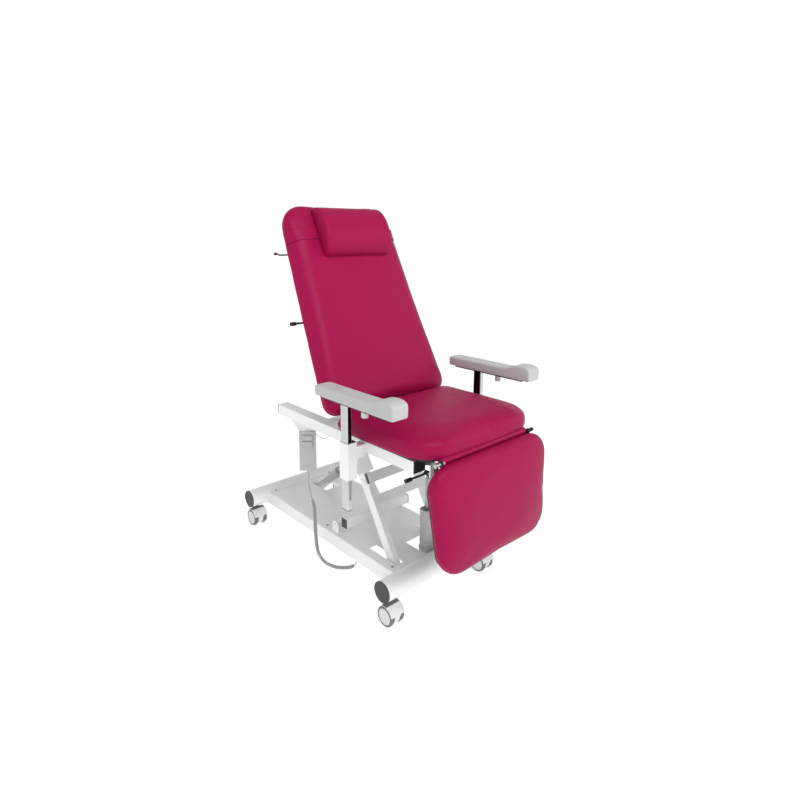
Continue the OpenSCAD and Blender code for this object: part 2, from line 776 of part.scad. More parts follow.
module motor_body() color(c_black) at_front() on_motor() difference() {
  union() {
    bar_x(-motor_tail_w / 2, motor_tail_w / 2, motor_tail_d, 0, 0);
    block(-motor_tail_w / 2, motor_tail_w / 2, -motor_tail_d / 2, motor_tail_d / 2, 0, motor_tail_d);
    bar_z(0, 0, motor_tail_d, motor_len, motor_d);
    bar_z(0, 0, motor_head_from, motor_head_from + motor_head_l, motor_head_d);
  }
  bar_x(-motor_tail_w, motor_tail_w, pivot_d + 2 * run_gap, 0, 0);
  bar_z(0, 0, motor_bore_from, motor_len + over, motor_rod_d + 2 * run_gap);
}
module motor_rod() color(c_steel) at_front() on_motor() difference() {
  union() {
    bar_z(0, 0, motor_len - rod_in, motor_full - neck_l, motor_rod_d);
    block(-eye_w / 2, eye_w / 2, -motor_rod_d / 2, motor_rod_d / 2, motor_full - neck_l - over, motor_full - eye_d / 3);
    bar_x(-eye_w / 2, eye_w / 2, eye_d, 0, motor_full);
  }
  bar_x(-eye_w, eye_w, pivot_d + 2 * eye_slack, 0, motor_full);
}

// Seat frame
module seat_rail() hollow_y(rail_in, frame_x, rail_y0, rail_y0 + rail_l, rail_bottom, rail_top, tube_wall);
module seat_rail_near() color(c_white) at_front() mirror([1, 0, 0]) seat_rail();
module seat_rail_far() color(c_white) at_front() seat_rail();
module rail_caps() color(c_black) at_front() pair() for (s = [0, 1]) {
  y = rail_y0 + s * rail_l;
  out = s == 0 ? -cap_t : 0;
  in = s == 0 ? 0 : -plug_l;
  block(rail_in, frame_x, y + out, y + out + cap_t, rail_bottom, rail_top);
  block(rail_in + tube_wall + plug_gap, frame_x - tube_wall - plug_gap, y + in, y + in + plug_l,
    rail_bottom + tube_wall + plug_gap, rail_top - tube_wall - plug_gap);
}
module seat_crossbars() color(c_white) at_front() {
  y1 = cross_a_y + cross_a_w;
  block(-seat_lever_x - lever_hub_d / 2, -seat_lever_x + lever_hub_d / 2, y1 - seat_lever_plate, y1,
    seat_lever_z - lever_hub_d / 2, rail_bottom + tube_wall);
  bar_y(-seat_lever_x, y1 - over, seat_lever_y + lever_rod_d, seat_lever_z, lever_pin_d);
  hollow_x(-rail_in, rail_in, cross_a_y, cross_a_y + cross_a_w, rail_bottom, rail_top, tube_wall);
  for (y = [cross_b_y, cross_c_y])
    hollow_x(-rail_in, rail_in, y, y + cross_b_w, rail_bottom, rail_bottom + cross_b_h, tube_wall);
}
module seat_spine() color(c_white) at_front() {
  lug_x0 = arm_x0 - lug_t - 2 * fit_gap;
  lug_x1 = arm_x0 + arm_w + lug_t + 2 * fit_gap;
  block(lug_x0, lug_x1, spine_y0, spine_y1, rail_bottom - spine_h, rail_bottom);
  for (x = [lug_x0, lug_x1 - lug_t]) side_plate(x, x + lug_t) {
    translate([arm_pivot_y, arm_pivot_z]) circle(r = lug_r);
    translate([arm_pivot_y - lug_r, arm_pivot_z])
      square([2 * lug_r, rail_bottom - spine_h - arm_pivot_z]);
  }
  bar_x(lug_x0, lug_x1, pivot_d, arm_pivot_y, arm_pivot_z);
}
module seat_legs() color(c_white) at_front() pair() {
  y0 = seat_pivot_y - leg_front;
  cheek_x1 = link_x - link_w - cheek_gap;
  cheek_x0 = cheek_x1 - cheek_t;
  translate([0, y0 + leg_depth, 0]) rotate([90, 0, 0]) linear_extrude(leg_depth) polygon([
    [rail_in, rail_top - leg_riser_top], [rail_in, leg_box_bottom + leg_riser_w],
    [rail_in - leg_riser_w, leg_box_bottom], [cheek_x0, leg_box_bottom],
    [leg_inner_top, leg_box_top], [rail_in - leg_riser_w, leg_box_top],
    [rail_in - leg_riser_w, rail_top - leg_riser_top]
  ]);
  side_plate(cheek_x0, cheek_x1) {
    translate([seat_pivot_y, seat_pivot_z]) circle(r = cheek_r);
    polygon([
      [seat_pivot_y + cheek_r * cheek_low_share, seat_pivot_z + cheek_r * cheek_low_share],
      [seat_pivot_y + cheek_back, seat_pivot_z + cheek_up], [seat_pivot_y + cheek_back, leg_box_bottom + over],
      [y0 + leg_depth, leg_box_bottom + over], [y0 + leg_depth, leg_box_bottom - cheek_t],
      [seat_pivot_y + cheek_r * cheek_low_share, seat_pivot_z - cheek_r * cheek_low_share]
    ]);
  }
  bar_x(cheek_x0, link_x + fit_gap + bolt_cap_t / 2, pivot_d, seat_pivot_y, seat_pivot_z);
  bolt_cap(link_x + fit_gap, seat_pivot_y, seat_pivot_z);
}
module sleeves() color(c_white) at_front() pair() {
  difference() {
    union() {
      x0 = post_x - post_w / 2 - sleeve_in_x - sleeve_wall;
      x1 = post_x + post_w / 2 + fit_gap + sleeve_wall;
      translate([(x0 + x1) / 2, arm_y, sleeve_z0]) linear_extrude(sleeve_h)
        rounded(x1 - x0, post_depth + 2 * fit_gap + 2 * sleeve_wall, sleeve_wall);
      block(frame_x, x0 + sleeve_wall / 2, arm_y - post_depth / 2, arm_y + post_depth / 2, mount_z0, mount_z1);
    }
    block(post_x - post_w / 2 - sleeve_in_x, post_x + post_w / 2 + fit_gap,
      arm_y - post_depth / 2 - fit_gap, arm_y + post_depth / 2 + fit_gap,
      sleeve_z0 - over, sleeve_z0 + sleeve_h + over);
  }
}
bush_lip = 2;
module sleeve_bushings() color(c_black) at_front() pair()
  block(post_x - post_w / 2 - sleeve_in_x, post_x - post_w / 2 - fit_gap,
    arm_y - post_depth / 2 - fit_gap, arm_y + post_depth / 2 + fit_gap,
    sleeve_z0 - bush_lip, sleeve_z0 + sleeve_h + bush_lip);
module hinge_plates() color(c_steel) at_front() pair() {
  side_plate(rail_in - hinge_t, rail_in) {
    translate([leg_axis_y, leg_axis_z]) circle(r = hinge_r);
    polygon([
      [leg_axis_y, leg_axis_z - hinge_r], [cross_a_y, rail_bottom + hinge_r],
      [cross_a_y, rail_top - hinge_r], [leg_axis_y + hinge_r, leg_axis_z - hinge_r / 2]
    ]);
  }
  bar_x(rail_in - hinge_t, hinge_end, hinge_pin_d, leg_axis_y, leg_axis_z);
  bar_x(rail_in + 2 * leg_arm_gap + hinge_t, hinge_end, hinge_bush_d, leg_axis_y, leg_axis_z);
  side_plate(rail_in - pivot_plate_t, rail_in) {
    translate([back_axis_y - pivot_plate_w / 2, rail_bottom + cross_b_h + fit_gap])
      square([pivot_plate_w, back_axis_z - rail_bottom - cross_b_h - fit_gap]);
    translate([back_axis_y, back_axis_z]) circle(d = 2 * (pivot_plate_top - back_axis_z));
  }
  bar_x(back_tube_x - back_tube / 2, rail_in, pivot_d, back_axis_y, back_axis_z);
}
module leg_roll() color(c_vinyl) at_front()
  bar_x(-roll_half, roll_half, leg_roll_d, seat_y0 + leg_roll_in, rail_top + leg_roll_up);
roll_half = rail_in - hinge_t - fit_gap;
module seat_board() color(c_black) at_front() translate([0, seat_y0 + seat_board_in, rail_top])
  linear_extrude(board_t) translate([0, (seat_l - 2 * seat_board_in) / 2])
    rounded(seat_w - 2 * seat_board_in / 2, seat_l - 2 * seat_board_in, seat_rear_r);
corner_steps = 7;
module seat_cushion() color(c_vinyl) at_front() translate([0, seat_y0, rail_top + board_t])
  cushion(seat_w, seat_w, seat_l, seat_front_r, seat_rear_r, seat_t, seat_soft, seat_tuck, seat_crown, corner_steps,
    seat_ends);
// The seat's rear end stands in front of the foremost edge of the backrest's foot
back_rings = cushion_rings(max(back_foot_w, back_head_w), back_l, back_t, back_soft, back_tuck, back_crown);
foot_y = min([for (i = [0:9]) back_y + (back_start + back_rings[i][0]) * cos(back_slope)
  - (back_board_t + back_rings[i][1]) * sin(back_slope)]);
rear_in = seat_y0 + seat_l - foot_y + press_gap;
seat_ends = concat(rear_low_in, [for (i = [0:2]) rear_in], [for (a = rear_top_in) rear_in + a]);

// Under-seat lever
module bar_y(x, y0, y1, z, d) translate([x, y0, z]) rotate([-90, 0, 0]) cylinder(d = d, h = y1 - y0);
module seat_lever() color(c_black) at_front() {
  difference() {
    bar_y(-seat_lever_x, seat_lever_y - lever_rod_d, seat_lever_y + lever_rod_d, seat_lever_z, lever_hub_d);
    bar_y(-seat_lever_x, seat_lever_y - lever_hub_d, seat_lever_y + lever_hub_d, seat_lever_z,
      lever_pin_d + 2 * run_gap);
  }
  bar_x(-seat_grip_x1, -seat_lever_x - lever_hub_d / 2 + over, lever_rod_d, seat_lever_y, seat_lever_z);
  bar_x(-seat_grip_x1, -seat_grip_x0, seat_grip_d, seat_lever_y, seat_lever_z);
}

// Backrest
module back_outline(inset) {
  w0 = back_foot_w - 2 * inset;
  w1 = back_head_w - 2 * inset;
  polygon(panel(w0, w1, back_l - 2 * inset, back_foot_r, back_head_r - inset, corner_steps));
}
module back_tubes() color(c_black) at_front() {
  pair() back_upright();
  on_back() for (v = [lever_v1, lever_v2]) {
    block(-lever_hub_x - lever_plate_half, -back_tube_x, -back_tube, -back_tube + lever_plate_t,
      v - lever_plate_half, v + lever_plate_half);
    translate([-lever_hub_x, -back_tube, v]) rotate([-90, 0, 0])
      cylinder(d = lever_pin_d, h = back_tube - 2 * fit_gap);
  }
}
module back_upright() difference() {
  union() {
    on_back() block(back_tube_x - back_tube / 2, back_tube_x + back_tube / 2, -back_tube, 0,
      -back_tube / 2, back_tube_top);
    bar_x(back_tube_x - back_tube / 2, back_tube_x + back_tube / 2, 2 * ear_r, back_axis_y, back_axis_z);
  }
  bar_x(back_tube_x - back_tube, back_tube_x + back_tube, pivot_d + 2 * run_gap, back_axis_y, back_axis_z);
}
module back_crossbars() color(c_black) at_front() on_back()
  for (v = [back_cross_v1, back_cross_v2, back_cross_v3])
    hollow_x(-back_tube_x + back_tube / 2, back_tube_x - back_tube / 2, -back_tube, 0,
      v, v + back_tube, tube_wall);
module back_board() color(c_black) at_front() on_back()
  translate([0, back_board_t, back_start + back_board_in]) rotate([90, 0, 0])
    linear_extrude(back_board_t) back_outline(back_board_in);
module back_cushion() color(c_vinyl) at_front() on_back()
  translate([0, back_board_t, back_start]) mirror([0, 1, 0]) rotate([90, 0, 0])
    cushion(back_foot_w, back_head_w, back_l, back_foot_r, back_head_r, back_t, back_soft, back_tuck,
      back_crown, corner_steps);
// D shaped pillow, its sections drawn as (depth, height) shares
pillow_end_shares = [0, 0.35, 0.68, 0.90, 1];
pillow_d_shares = [
  [0, 0.02], [0, 0.25], [0, 0.5], [0, 0.75], [0, 0.96], [0.20, 0.995], [0.42, 0.975], [0.63, 0.91],
  [0.82, 0.80], [0.95, 0.65], [1, 0.48], [0.96, 0.32], [0.84, 0.18], [0.64, 0.07], [0.40, 0.015], [0.18, 0]
];
pillow_round = 26;
pillow_steps = 4;
module head_pillow() color(c_vinyl) at_front() on_back() {
  base_w = back_board_t + back_t + back_crown + strap_t + 3 * fit_gap;
  sides = len(pillow_d_shares);
  ends = len(pillow_end_shares);
  us = concat(
    [for (i = [0:ends - 1]) [-pillow_l / 2 + pillow_round * (1 - cos(90 * i / (ends - 1))), pillow_end_shares[i]]],
    [for (i = [1:pillow_steps - 1]) [-pillow_l / 2 + pillow_round + (pillow_l - 2 * pillow_round) * i / pillow_steps, 1]],
    [for (i = [ends - 1:-1:0]) [pillow_l / 2 - pillow_round * (1 - cos(90 * i / (ends - 1))), pillow_end_shares[i]]]
  );
  k = len(us);
  pts = [for (g = us) for (s = pillow_d_shares) let (f = pillow_core_share + (1 - pillow_core_share) * g[1])
    [g[0], base_w + pillow_t * (pillow_mid_share + (s[0] - pillow_mid_share) * f),
      pillow_v0 + pillow_v * (0.5 + (s[1] - 0.5) * f)]];
  side = [for (j = [0:k - 2]) for (i = [0:sides - 1]) let (a = j * sides + i, b = j * sides + (i + 1) % sides)
    each [[a, b, a + sides], [b, b + sides, a + sides]]];
  m0 = len(pts);
  mid0 = [-pillow_l / 2 - pillow_dome, base_w + pillow_t * pillow_mid_share, pillow_v0 + pillow_v / 2];
  mid1 = [pillow_l / 2 + pillow_dome, mid0[1], mid0[2]];
  cap0 = [for (i = [0:sides - 1]) [m0, (i + 1) % sides, i]];
  cap1 = [for (i = [0:sides - 1]) [m0 + 1, (k - 1) * sides + i, (k - 1) * sides + (i + 1) % sides]];
  polyhedron(concat(pts, [mid0, mid1]), concat(side, cap0, cap1));
}
pillow_core_share = 0.80;
pillow_mid_share = 0.42;
module pillow_strap() color(c_vinyl) at_front() on_back() {
  v_share = (strap_v - back_start) / back_l;
  half = (back_foot_w + (back_head_w - back_foot_w) * v_share) / 2 + over;
  front = back_board_t + back_t + back_crown + fit_gap;
  difference() {
    translate([0, (front - back_tube) / 2, strap_v]) linear_extrude(strap_w) difference() {
      rounded(2 * half + 2 * strap_t, front + back_tube + 2 * strap_t + fit_gap, strap_r);
      rounded(2 * half, front + back_tube + fit_gap, strap_r - strap_t);
    }
  }
}
strap_r = 22;
module on_lever(v) on_back() translate([-lever_hub_x, lever_w, v]) children();
module lever_hub() rotate([90, 0, 0]) translate([0, 0, -lever_hub_h / 2]) difference() {
  cylinder(d = lever_hub_d, h = lever_hub_h - fit_gap);
  translate([0, 0, -over]) cylinder(d = lever_pin_d + 2 * run_gap, h = lever_hub_h + 2 * over);
}
module lever_rod(l) bar_x(-l, -lever_hub_d / 2 + over, lever_rod_d, 0, 0);
module lever_upper() color(c_black) at_front() on_lever(lever_v1) {
  lever_hub();
  lever_rod(lever_reach1 + lever_ball_d / 2 - lever_hub_x);
  translate([-lever_reach1 - lever_ball_d / 2 + lever_hub_x, 0, 0]) sphere(d = lever_ball_d);
}
module lever_lower() color(c_black) at_front() on_lever(lever_v2) {
  lever_hub();
  lever_rod(lever_reach2 - lever_hub_x + over);
  bar_x(-lever_reach2 - lever_grip_l + lever_hub_x, -lever_reach2 + lever_hub_x, lever_grip_d, 0, 0);
}

// Legrest
module leg_board() color(c_black) at_front() {
  on_leg() translate([0, leg_rear_w + leg_board_t, leg_start + leg_board_in]) rotate([90, 0, 0])
    linear_extrude(leg_board_t) polygon(panel(leg_top_w - 2 * leg_board_in, leg_foot_w - 2 * leg_board_in,
      leg_l - 2 * leg_board_in, leg_r - leg_board_in, leg_r - leg_board_in, corner_steps));
  pair() difference() {
    on_leg() side_plate(rail_in + leg_arm_gap, rail_in + leg_arm_gap + hinge_t) {
      circle(r = hinge_r);
      polygon([
        [-hinge_r * crank_low_share, 0], [leg_rear_w - leg_arm_t, leg_start], [leg_rear_w - leg_arm_t, leg_arm_l],
        [leg_rear_w + leg_board_t / 3, leg_arm_l + leg_arm_t], [leg_rear_w + leg_board_t / 3, leg_start],
        [hinge_r * leg_neck_share, hinge_r * leg_neck_share], [hinge_r * leg_neck_share, 0]
      ]);
    }
    bar_x(0, hinge_end, hinge_pin_d + 2 * run_gap, leg_axis_y, leg_axis_z);
  }
}
leg_neck_share = 0.62;
leg_soft = 24;
leg_tuck = 9;
module leg_cushion() color(c_vinyl) at_front() on_leg()
  translate([0, leg_rear_w + leg_board_t, leg_start]) mirror([0, 1, 0]) rotate([90, 0, 0])
    cushion(leg_top_w, leg_foot_w, leg_l, leg_r, leg_r, leg_t, leg_soft, leg_tuck, leg_crown, corner_steps);

// Armrests
module post() {
  z1 = pad_z - plate_t - fit_gap;
  difference() {
    translate([post_x, arm_y, post_bottom + cap_t]) linear_extrude(z1 - post_bottom - cap_t)
      rounded(post_w, post_depth, post_r);
    block(post_x - post_slot_w / 2, post_x + post_slot_w / 2, arm_y - post_depth / 2 - over,
      arm_y - post_depth / 2 + post_slot_deep, post_slot_z, post_slot_z + post_slot_h);
  }
  translate([post_x, arm_y, post_bottom]) linear_extrude(cap_t) rounded(post_w, post_depth, post_r);
  bar_z(post_x, arm_y, z1 - over, pad_z + pad_pin_l, pad_pin_d);
}
module post_near() color(c_steel) at_front() mirror([1, 0, 0]) post();
module post_far() color(c_steel) at_front() post();
module arm_pad() {
  x = post_x - pad_in;
  difference() {
    union() {
      intersection() {
        side_plate(x - pad_w / 2, x + pad_w / 2) {
          translate([pad_front + pad_l / 2, pad_z + pad_h / 2]) rounded(pad_l, pad_h, pad_edge);
          translate([pad_front + pad_hump_l / 2, pad_z + (pad_h + pad_hump_h) / 2])
            rounded(pad_hump_l, pad_h + pad_hump_h, pad_hump_r);
          polygon([
            [pad_front + pad_hump_l - pad_hump_r, pad_z + pad_h + pad_hump_h],
            [pad_front + pad_hump_l - pad_hump_r, pad_z + pad_h - pad_edge],
            [pad_front + pad_hump_l + pad_hump_run, pad_z + pad_h - pad_edge],
            [pad_front + pad_hump_l + pad_hump_run, pad_z + pad_h]
          ]);
        }
        translate([x, pad_front + pad_l / 2, pad_z]) linear_extrude(pad_h + pad_hump_h)
          rounded(pad_w, pad_l, pad_r);
      }
      translate([x, pad_front + pad_l / 2, pad_z - plate_t]) linear_extrude(plate_t + pad_edge)
        rounded(pad_w - 2 * plate_inset, pad_l - 2 * plate_inset, pad_r / 2);
    }
    bar_z(post_x, arm_y, pad_z - plate_t - over, pad_z + pad_pin_l + fit_gap, pad_pin_d + 2 * run_gap);
    bar_z(post_x, knob_y, pad_z - plate_t - over, pad_z - plate_t + knob_stem_l + fit_gap,
      knob_stem_d + 2 * run_gap);
  }
}
module arm_pad_near() color(c_grey) at_front() mirror([1, 0, 0]) arm_pad();
module arm_pad_far() color(c_grey) at_front() arm_pad();
knob_lobes = 6;
module knob() {
  z1 = pad_z - plate_t - fit_gap;
  difference() {
    bar_z(post_x, knob_y, z1 - knob_h, z1, knob_d);
    for (a = [0:knob_lobes - 1]) translate([post_x, knob_y, 0]) rotate([0, 0, a * 360 / knob_lobes])
      bar_z(knob_d * knob_lobe_share, 0, z1 - knob_h - over, z1 - knob_h / 3, knob_d / 5);
  }
  bar_z(post_x, knob_y, z1 - over, z1 + knob_stem_l, knob_stem_d);
}
knob_lobe_share = 0.56;
module knob_near() color(c_light) at_front() mirror([1, 0, 0]) knob();
module knob_far() color(c_light) at_front() knob();

// Handset: drawn with its face to -Y, then turned
module at_handset() translate([handset_x, handset_y, handset_z]) rotate([0, 0, -handset_turn]) children();
module key_cut(i, grow) translate([0, -handset_t / 2, key_top - key_h / 2 - i * key_step]) rotate([90, 0, 0])
  translate([0, 0, -key_t - key_travel]) linear_extrude(key_t + key_travel + grow)
    rounded(key_w + 2 * grow * key_gap, key_h + 2 * grow * key_gap, handset_r / 2);
module handset() color(c_grey) at_front() {
  at_handset() difference() {
    linear_extrude(handset_h) rounded(handset_w, handset_t, handset_r);
    for (i = [0, 1]) key_cut(i, 1);
  }
  bar_z(handset_x, handset_y, handset_z - relief_l, handset_z, relief_d);
}
module key(i) at_handset() translate([0, -handset_t / 2 - key_out, key_top - key_h / 2 - i * key_step])
  rotate([-90, 0, 0]) linear_extrude(key_t + key_out - fit_gap) rounded(key_w, key_h, handset_r / 2);
key_out = 1.5;
module key_up() color(c_light) at_front() key(0);
module key_down() color(c_light) at_front() key(1);
holder_y0 = 418;
holder_drop = 24;
module handset_holder() color(c_light) at_front() {
  block(-frame_x, -frame_x + holder_w, handset_y - holder_w, handset_y + holder_w,
    rail_bottom - holder_t, rail_bottom);
  block(handset_x - holder_w / 2, handset_x + holder_w / 2, handset_y - holder_t / 2, handset_y + holder_t / 2,
    handset_z + handset_h, rail_bottom - holder_t);
}

// Cord: a straight lead and a curled length
lead_sides = 8;
function unit(v) = v / norm(v);
function side_of(t) = unit(cross(t, abs(t[0]) > abs(t[2]) * 2 ? [0, 0, 1] : [1, 0, 0]));
function tangent(r, i) = unit(r[min(i + 1, len(r) - 1)] - r[max(i - 1, 0)]);
module tube(centres, tangents, d, sides) {
  k = len(centres);
  pts = [for (i = [0:k - 1]) let (t = tangents[i], a = side_of(t), b = cross(t, a))
    for (s = [0:sides - 1]) centres[i] + (a * cos(360 * s / sides) + b * sin(360 * s / sides)) * d / 2];
  side = [for (j = [0:k - 2]) for (s = [0:sides - 1]) let (
    a = j * sides + s, b = j * sides + (s + 1) % sides
  ) each [[a, a + sides, b], [b, a + sides, b + sides]]];
  cap0 = [for (s = [1:sides - 2]) [0, s, s + 1]];
  cap1 = [for (s = [1:sides - 2]) [(k - 1) * sides, (k - 1) * sides + s + 1, (k - 1) * sides + s]];
  polyhedron(pts, concat(side, cap0, cap1));
}
module cord_lead() color(c_dark) at_front() {
  n = len(lead_route);
  ts = [for (i = [0:n - 1]) i == 0 ? [0, 0, -1] : i == n - 1 ? lead_end : tangent(lead_route, i)];
  tube(lead_route, ts, cord_d, lead_sides);
}
lead_end = unit(coil_route[1] - coil_route[0]);

// Smooth centre line through the coil's route points
function catmull(a, b, c, d, t) = 0.5 * (2 * b + (c - a) * t + (2 * a - 5 * b + 4 * c - d) * t * t
  + (3 * b - a - 3 * c + d) * t * t * t);
function route_at(s) = let (
  n = len(coil_route) - 1, i = min(floor(s), n - 1), t = s - i,
  p0 = coil_route[max(i - 1, 0)], p1 = coil_route[i], p2 = coil_route[i + 1], p3 = coil_route[min(i + 2, n)]
) catmull(p0, p1, p2, p3, t);
route_steps = 12;
route_n = (len(coil_route) - 1) * route_steps;
line = [for (i = [0:route_n]) route_at(i / route_steps)];
function sums(v, i = 0, s = 0) = i >= len(v) ? [] : concat([s + v[i]], sums(v, i + 1, s + v[i]));
line_d = concat([0], sums([for (i = [1:route_n]) norm(line[i] - line[i - 1])]));
line_l = line_d[route_n];
function seek(d, lo, hi) = hi - lo <= 1 ? lo : let (m = floor((lo + hi) / 2))
  line_d[m] <= d ? seek(d, m, hi) : seek(d, lo, m);
function centre(d) = let (i = seek(min(max(d, 0), line_l), 0, route_n), f = (d - line_d[i]) / (line_d[i + 1] - line_d[i]))
  line[i] + (line[i + 1] - line[i]) * f;
function heading(d) = unit(centre(min(d + 2 * over, line_l)) - centre(max(d - 2 * over, 0)));
curl_rings = 7;
curl_sides = 5;
curl_r = (curl_d - cord_d) / 2;
lead_in = 3 * cord_d;
curl_span = line_l - 2 * lead_in;
// The radius grows from nothing over the first curl and shrinks over the last
function curl_grow(a) = min(1, a, curls - a);
function curl_side(t) = unit(cross(t, [1, 0, 0]));
function curl_point(d) = let (
  a = (d - lead_in) / curl_span * curls, r = curl_r * max(0, curl_grow(a)), t = heading(d),
  e = curl_side(t), g = cross(t, e)
) centre(d) + (e * cos(360 * a) + g * sin(360 * a)) * r;
coil_n = curls * curl_rings;
coil_ds = concat([0, lead_in / 2], [for (i = [0:coil_n]) lead_in + curl_span * i / coil_n], [line_l - lead_in / 2, line_l]);
coil_pts = [for (d = coil_ds) curl_point(d)];
coil_last = len(coil_pts) - 1;
coil_ts = [for (i = [0:coil_last]) i == 0 ? lead_end : i == coil_last ? [0, 0, 1] : tangent(coil_pts, i)];
// Frames of a tube, carried along without twist
function carry(ts, i, a) = i >= len(ts) ? [] : let (b = unit(a - ts[i] * (a * ts[i]))) concat([b], carry(ts, i + 1, b));
module coil_tube(centres, ts, d, sides) {
  as = carry(ts, 0, curl_side(ts[0]));
  k = len(centres);
  pts = [for (i = [0:k - 1]) let (a = as[i], b = cross(ts[i], a))
    for (s = [0:sides - 1]) centres[i] + (a * cos(360 * s / sides) + b * sin(360 * s / sides)) * d / 2];
  side = [for (j = [0:k - 2]) for (s = [0:sides - 1]) let (
    a = j * sides + s, b = j * sides + (s + 1) % sides
  ) each [[a, a + sides, b], [b, a + sides, b + sides]]];
  cap0 = [for (s = [1:sides - 2]) [0, s, s + 1]];
  cap1 = [for (s = [1:sides - 2]) [(k - 1) * sides, (k - 1) * sides + s + 1, (k - 1) * sides + s]];
  polyhedron(pts, concat(side, cap0, cap1));
}
// Least gap between neighbouring curls, measured on ring centres three quarters of a curl or more apart
near_share = 0.75;
near_rings = ceil(curl_rings * near_share);
coil_gap = min([for (i = [0:coil_last]) for (j = [i + near_rings:min(i + 2 * curl_rings, coil_last)])
  norm(coil_pts[i] - coil_pts[j])]) - cord_d;
echo(least_coil_gap = coil_gap, coil_length = line_l);
module cord_coil() color(c_dark) at_front() coil_tube(coil_pts, coil_ts, cord_d, curl_sides);

base_tube_front();
base_tube_rear();
base_rail_near();
base_rail_far();
base_cover();
tube_caps();
bar_brackets();
control_column();
caster_front_near();
caster_front_far();
caster_rear_near();
caster_rear_far();
wheels_front_near();
wheels_front_far();
wheels_rear_near();
wheels_rear_far();
pedal_near();
pedal_far();
front_link_near();
front_link_far();
link_crossbars();
torque_bar();
rear_arm();
motor_body();
motor_rod();
seat_rail_near();
seat_rail_far();
rail_caps();
seat_crossbars();
seat_spine();
seat_legs();
sleeves();
sleeve_bushings();
hinge_plates();
leg_roll();
seat_board();
seat_cushion();
handset_holder();
handset();
key_up();
key_down();
seat_lever();
back_tubes();
back_crossbars();
back_board();
back_cushion();
head_pillow();
pillow_strap();
lever_upper();
lever_lower();
leg_board();
leg_cushion();
post_near();
post_far();
arm_pad_near();
arm_pad_far();
knob_near();
knob_far();
cord_lead();
cord_coil();
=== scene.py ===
"""Wheeled rest armchair: the looks of the upholstery, paint, plastics and cord."""
import bpy, bmesh, json, math
from mathutils import Vector, Matrix


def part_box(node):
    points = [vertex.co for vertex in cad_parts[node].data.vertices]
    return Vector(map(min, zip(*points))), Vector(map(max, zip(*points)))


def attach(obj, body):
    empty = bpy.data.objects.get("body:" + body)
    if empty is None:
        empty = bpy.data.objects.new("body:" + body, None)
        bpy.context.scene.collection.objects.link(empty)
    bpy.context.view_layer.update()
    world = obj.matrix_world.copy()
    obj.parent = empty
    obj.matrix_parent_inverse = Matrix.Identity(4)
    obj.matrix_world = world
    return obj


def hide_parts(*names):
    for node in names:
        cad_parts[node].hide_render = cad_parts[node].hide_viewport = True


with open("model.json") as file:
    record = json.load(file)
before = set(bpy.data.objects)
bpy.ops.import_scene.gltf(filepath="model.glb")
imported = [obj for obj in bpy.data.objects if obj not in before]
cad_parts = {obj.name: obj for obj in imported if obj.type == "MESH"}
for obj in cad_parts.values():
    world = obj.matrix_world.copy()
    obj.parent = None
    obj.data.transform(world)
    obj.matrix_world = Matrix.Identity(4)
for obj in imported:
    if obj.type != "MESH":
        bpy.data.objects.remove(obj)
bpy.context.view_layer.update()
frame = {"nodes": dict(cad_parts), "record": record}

nodes = frame["nodes"]
MM = 0.001

# Place of the front cross tube's axis along Y, from which the lengths below are measured
FRONT = -351


def at(x, y, z):
    """A point in millimetres, with y from the front cross tube, in metres in the part's frame."""
    return Vector((x * MM, (y + FRONT) * MM, z * MM))


# Camera, fitted to the photograph
AZIMUTH, ELEVATION, ROLL = math.radians(-41.68), math.radians(11.07), math.radians(0.12)
back = Vector((math.sin(AZIMUTH) * math.cos(ELEVATION), -math.cos(AZIMUTH) * math.cos(ELEVATION),
               math.sin(ELEVATION)))
right = Vector((math.cos(AZIMUTH), math.sin(AZIMUTH), 0))
up = back.cross(right)
camera_data = bpy.data.cameras.new("camera")
camera = bpy.data.objects.new("camera", camera_data)
bpy.context.scene.collection.objects.link(camera)
turn = Matrix((right, up, back)).transposed() @ Matrix.Rotation(ROLL, 3, "Z")
EYE = at(-1491, -1361, 1388)
camera.matrix_world = Matrix.Translation(EYE) @ turn.to_4x4()
# Focal length and the point looked at, in pixels of a picture 800 pixels wide
PICTURE, FOCAL, MIDDLE, SENSOR = 800, 568.9, (383.84, 342.84), 36
camera_data.sensor_width = SENSOR
camera_data.lens = FOCAL / PICTURE * SENSOR
camera_data.shift_x = (PICTURE / 2 - MIDDLE[0]) / PICTURE
camera_data.shift_y = (MIDDLE[1] - PICTURE / 2) / PICTURE
camera_data.clip_end = 50
bpy.context.scene.camera = camera


# Materials. Moulded and painted grains are far finer in real life than any render shows, so they are
# drawn coarser here
def linear(hex_colour):
    """An sRGB hex colour as linear RGBA."""
    parts = [int(hex_colour[i:i + 2], 16) / 255 for i in (1, 3, 5)]
    return [c / 12.92 if c <= 0.04045 else ((c + 0.055) / 1.055) ** 2.4 for c in parts] + [1.0]


def node(tree, kind, settings=None, **links):
    """Adds a node. A link is a socket of another node, anything else is a value."""
    new = tree.nodes.new(kind)
    for name, value in (settings or {}).items():
        setattr(new, name, value)
    for name, value in links.items():
        socket = new.inputs[int(name[1:])] if name[0] == "_" else new.inputs[name.replace("_", " ")]
        if isinstance(value, bpy.types.NodeSocket):
            tree.links.new(value, socket)
        else:
            socket.default_value = value
    return new


# How far roughness wanders either way, and how rough a clear coat is
ROUGH_SPREAD, COAT_ROUGHNESS = 0.06, 0.2
# A wave texture turns by 20 radians over each unit of its scale, so a brushed size is that of one radian
WAVE_RADIANS = 20


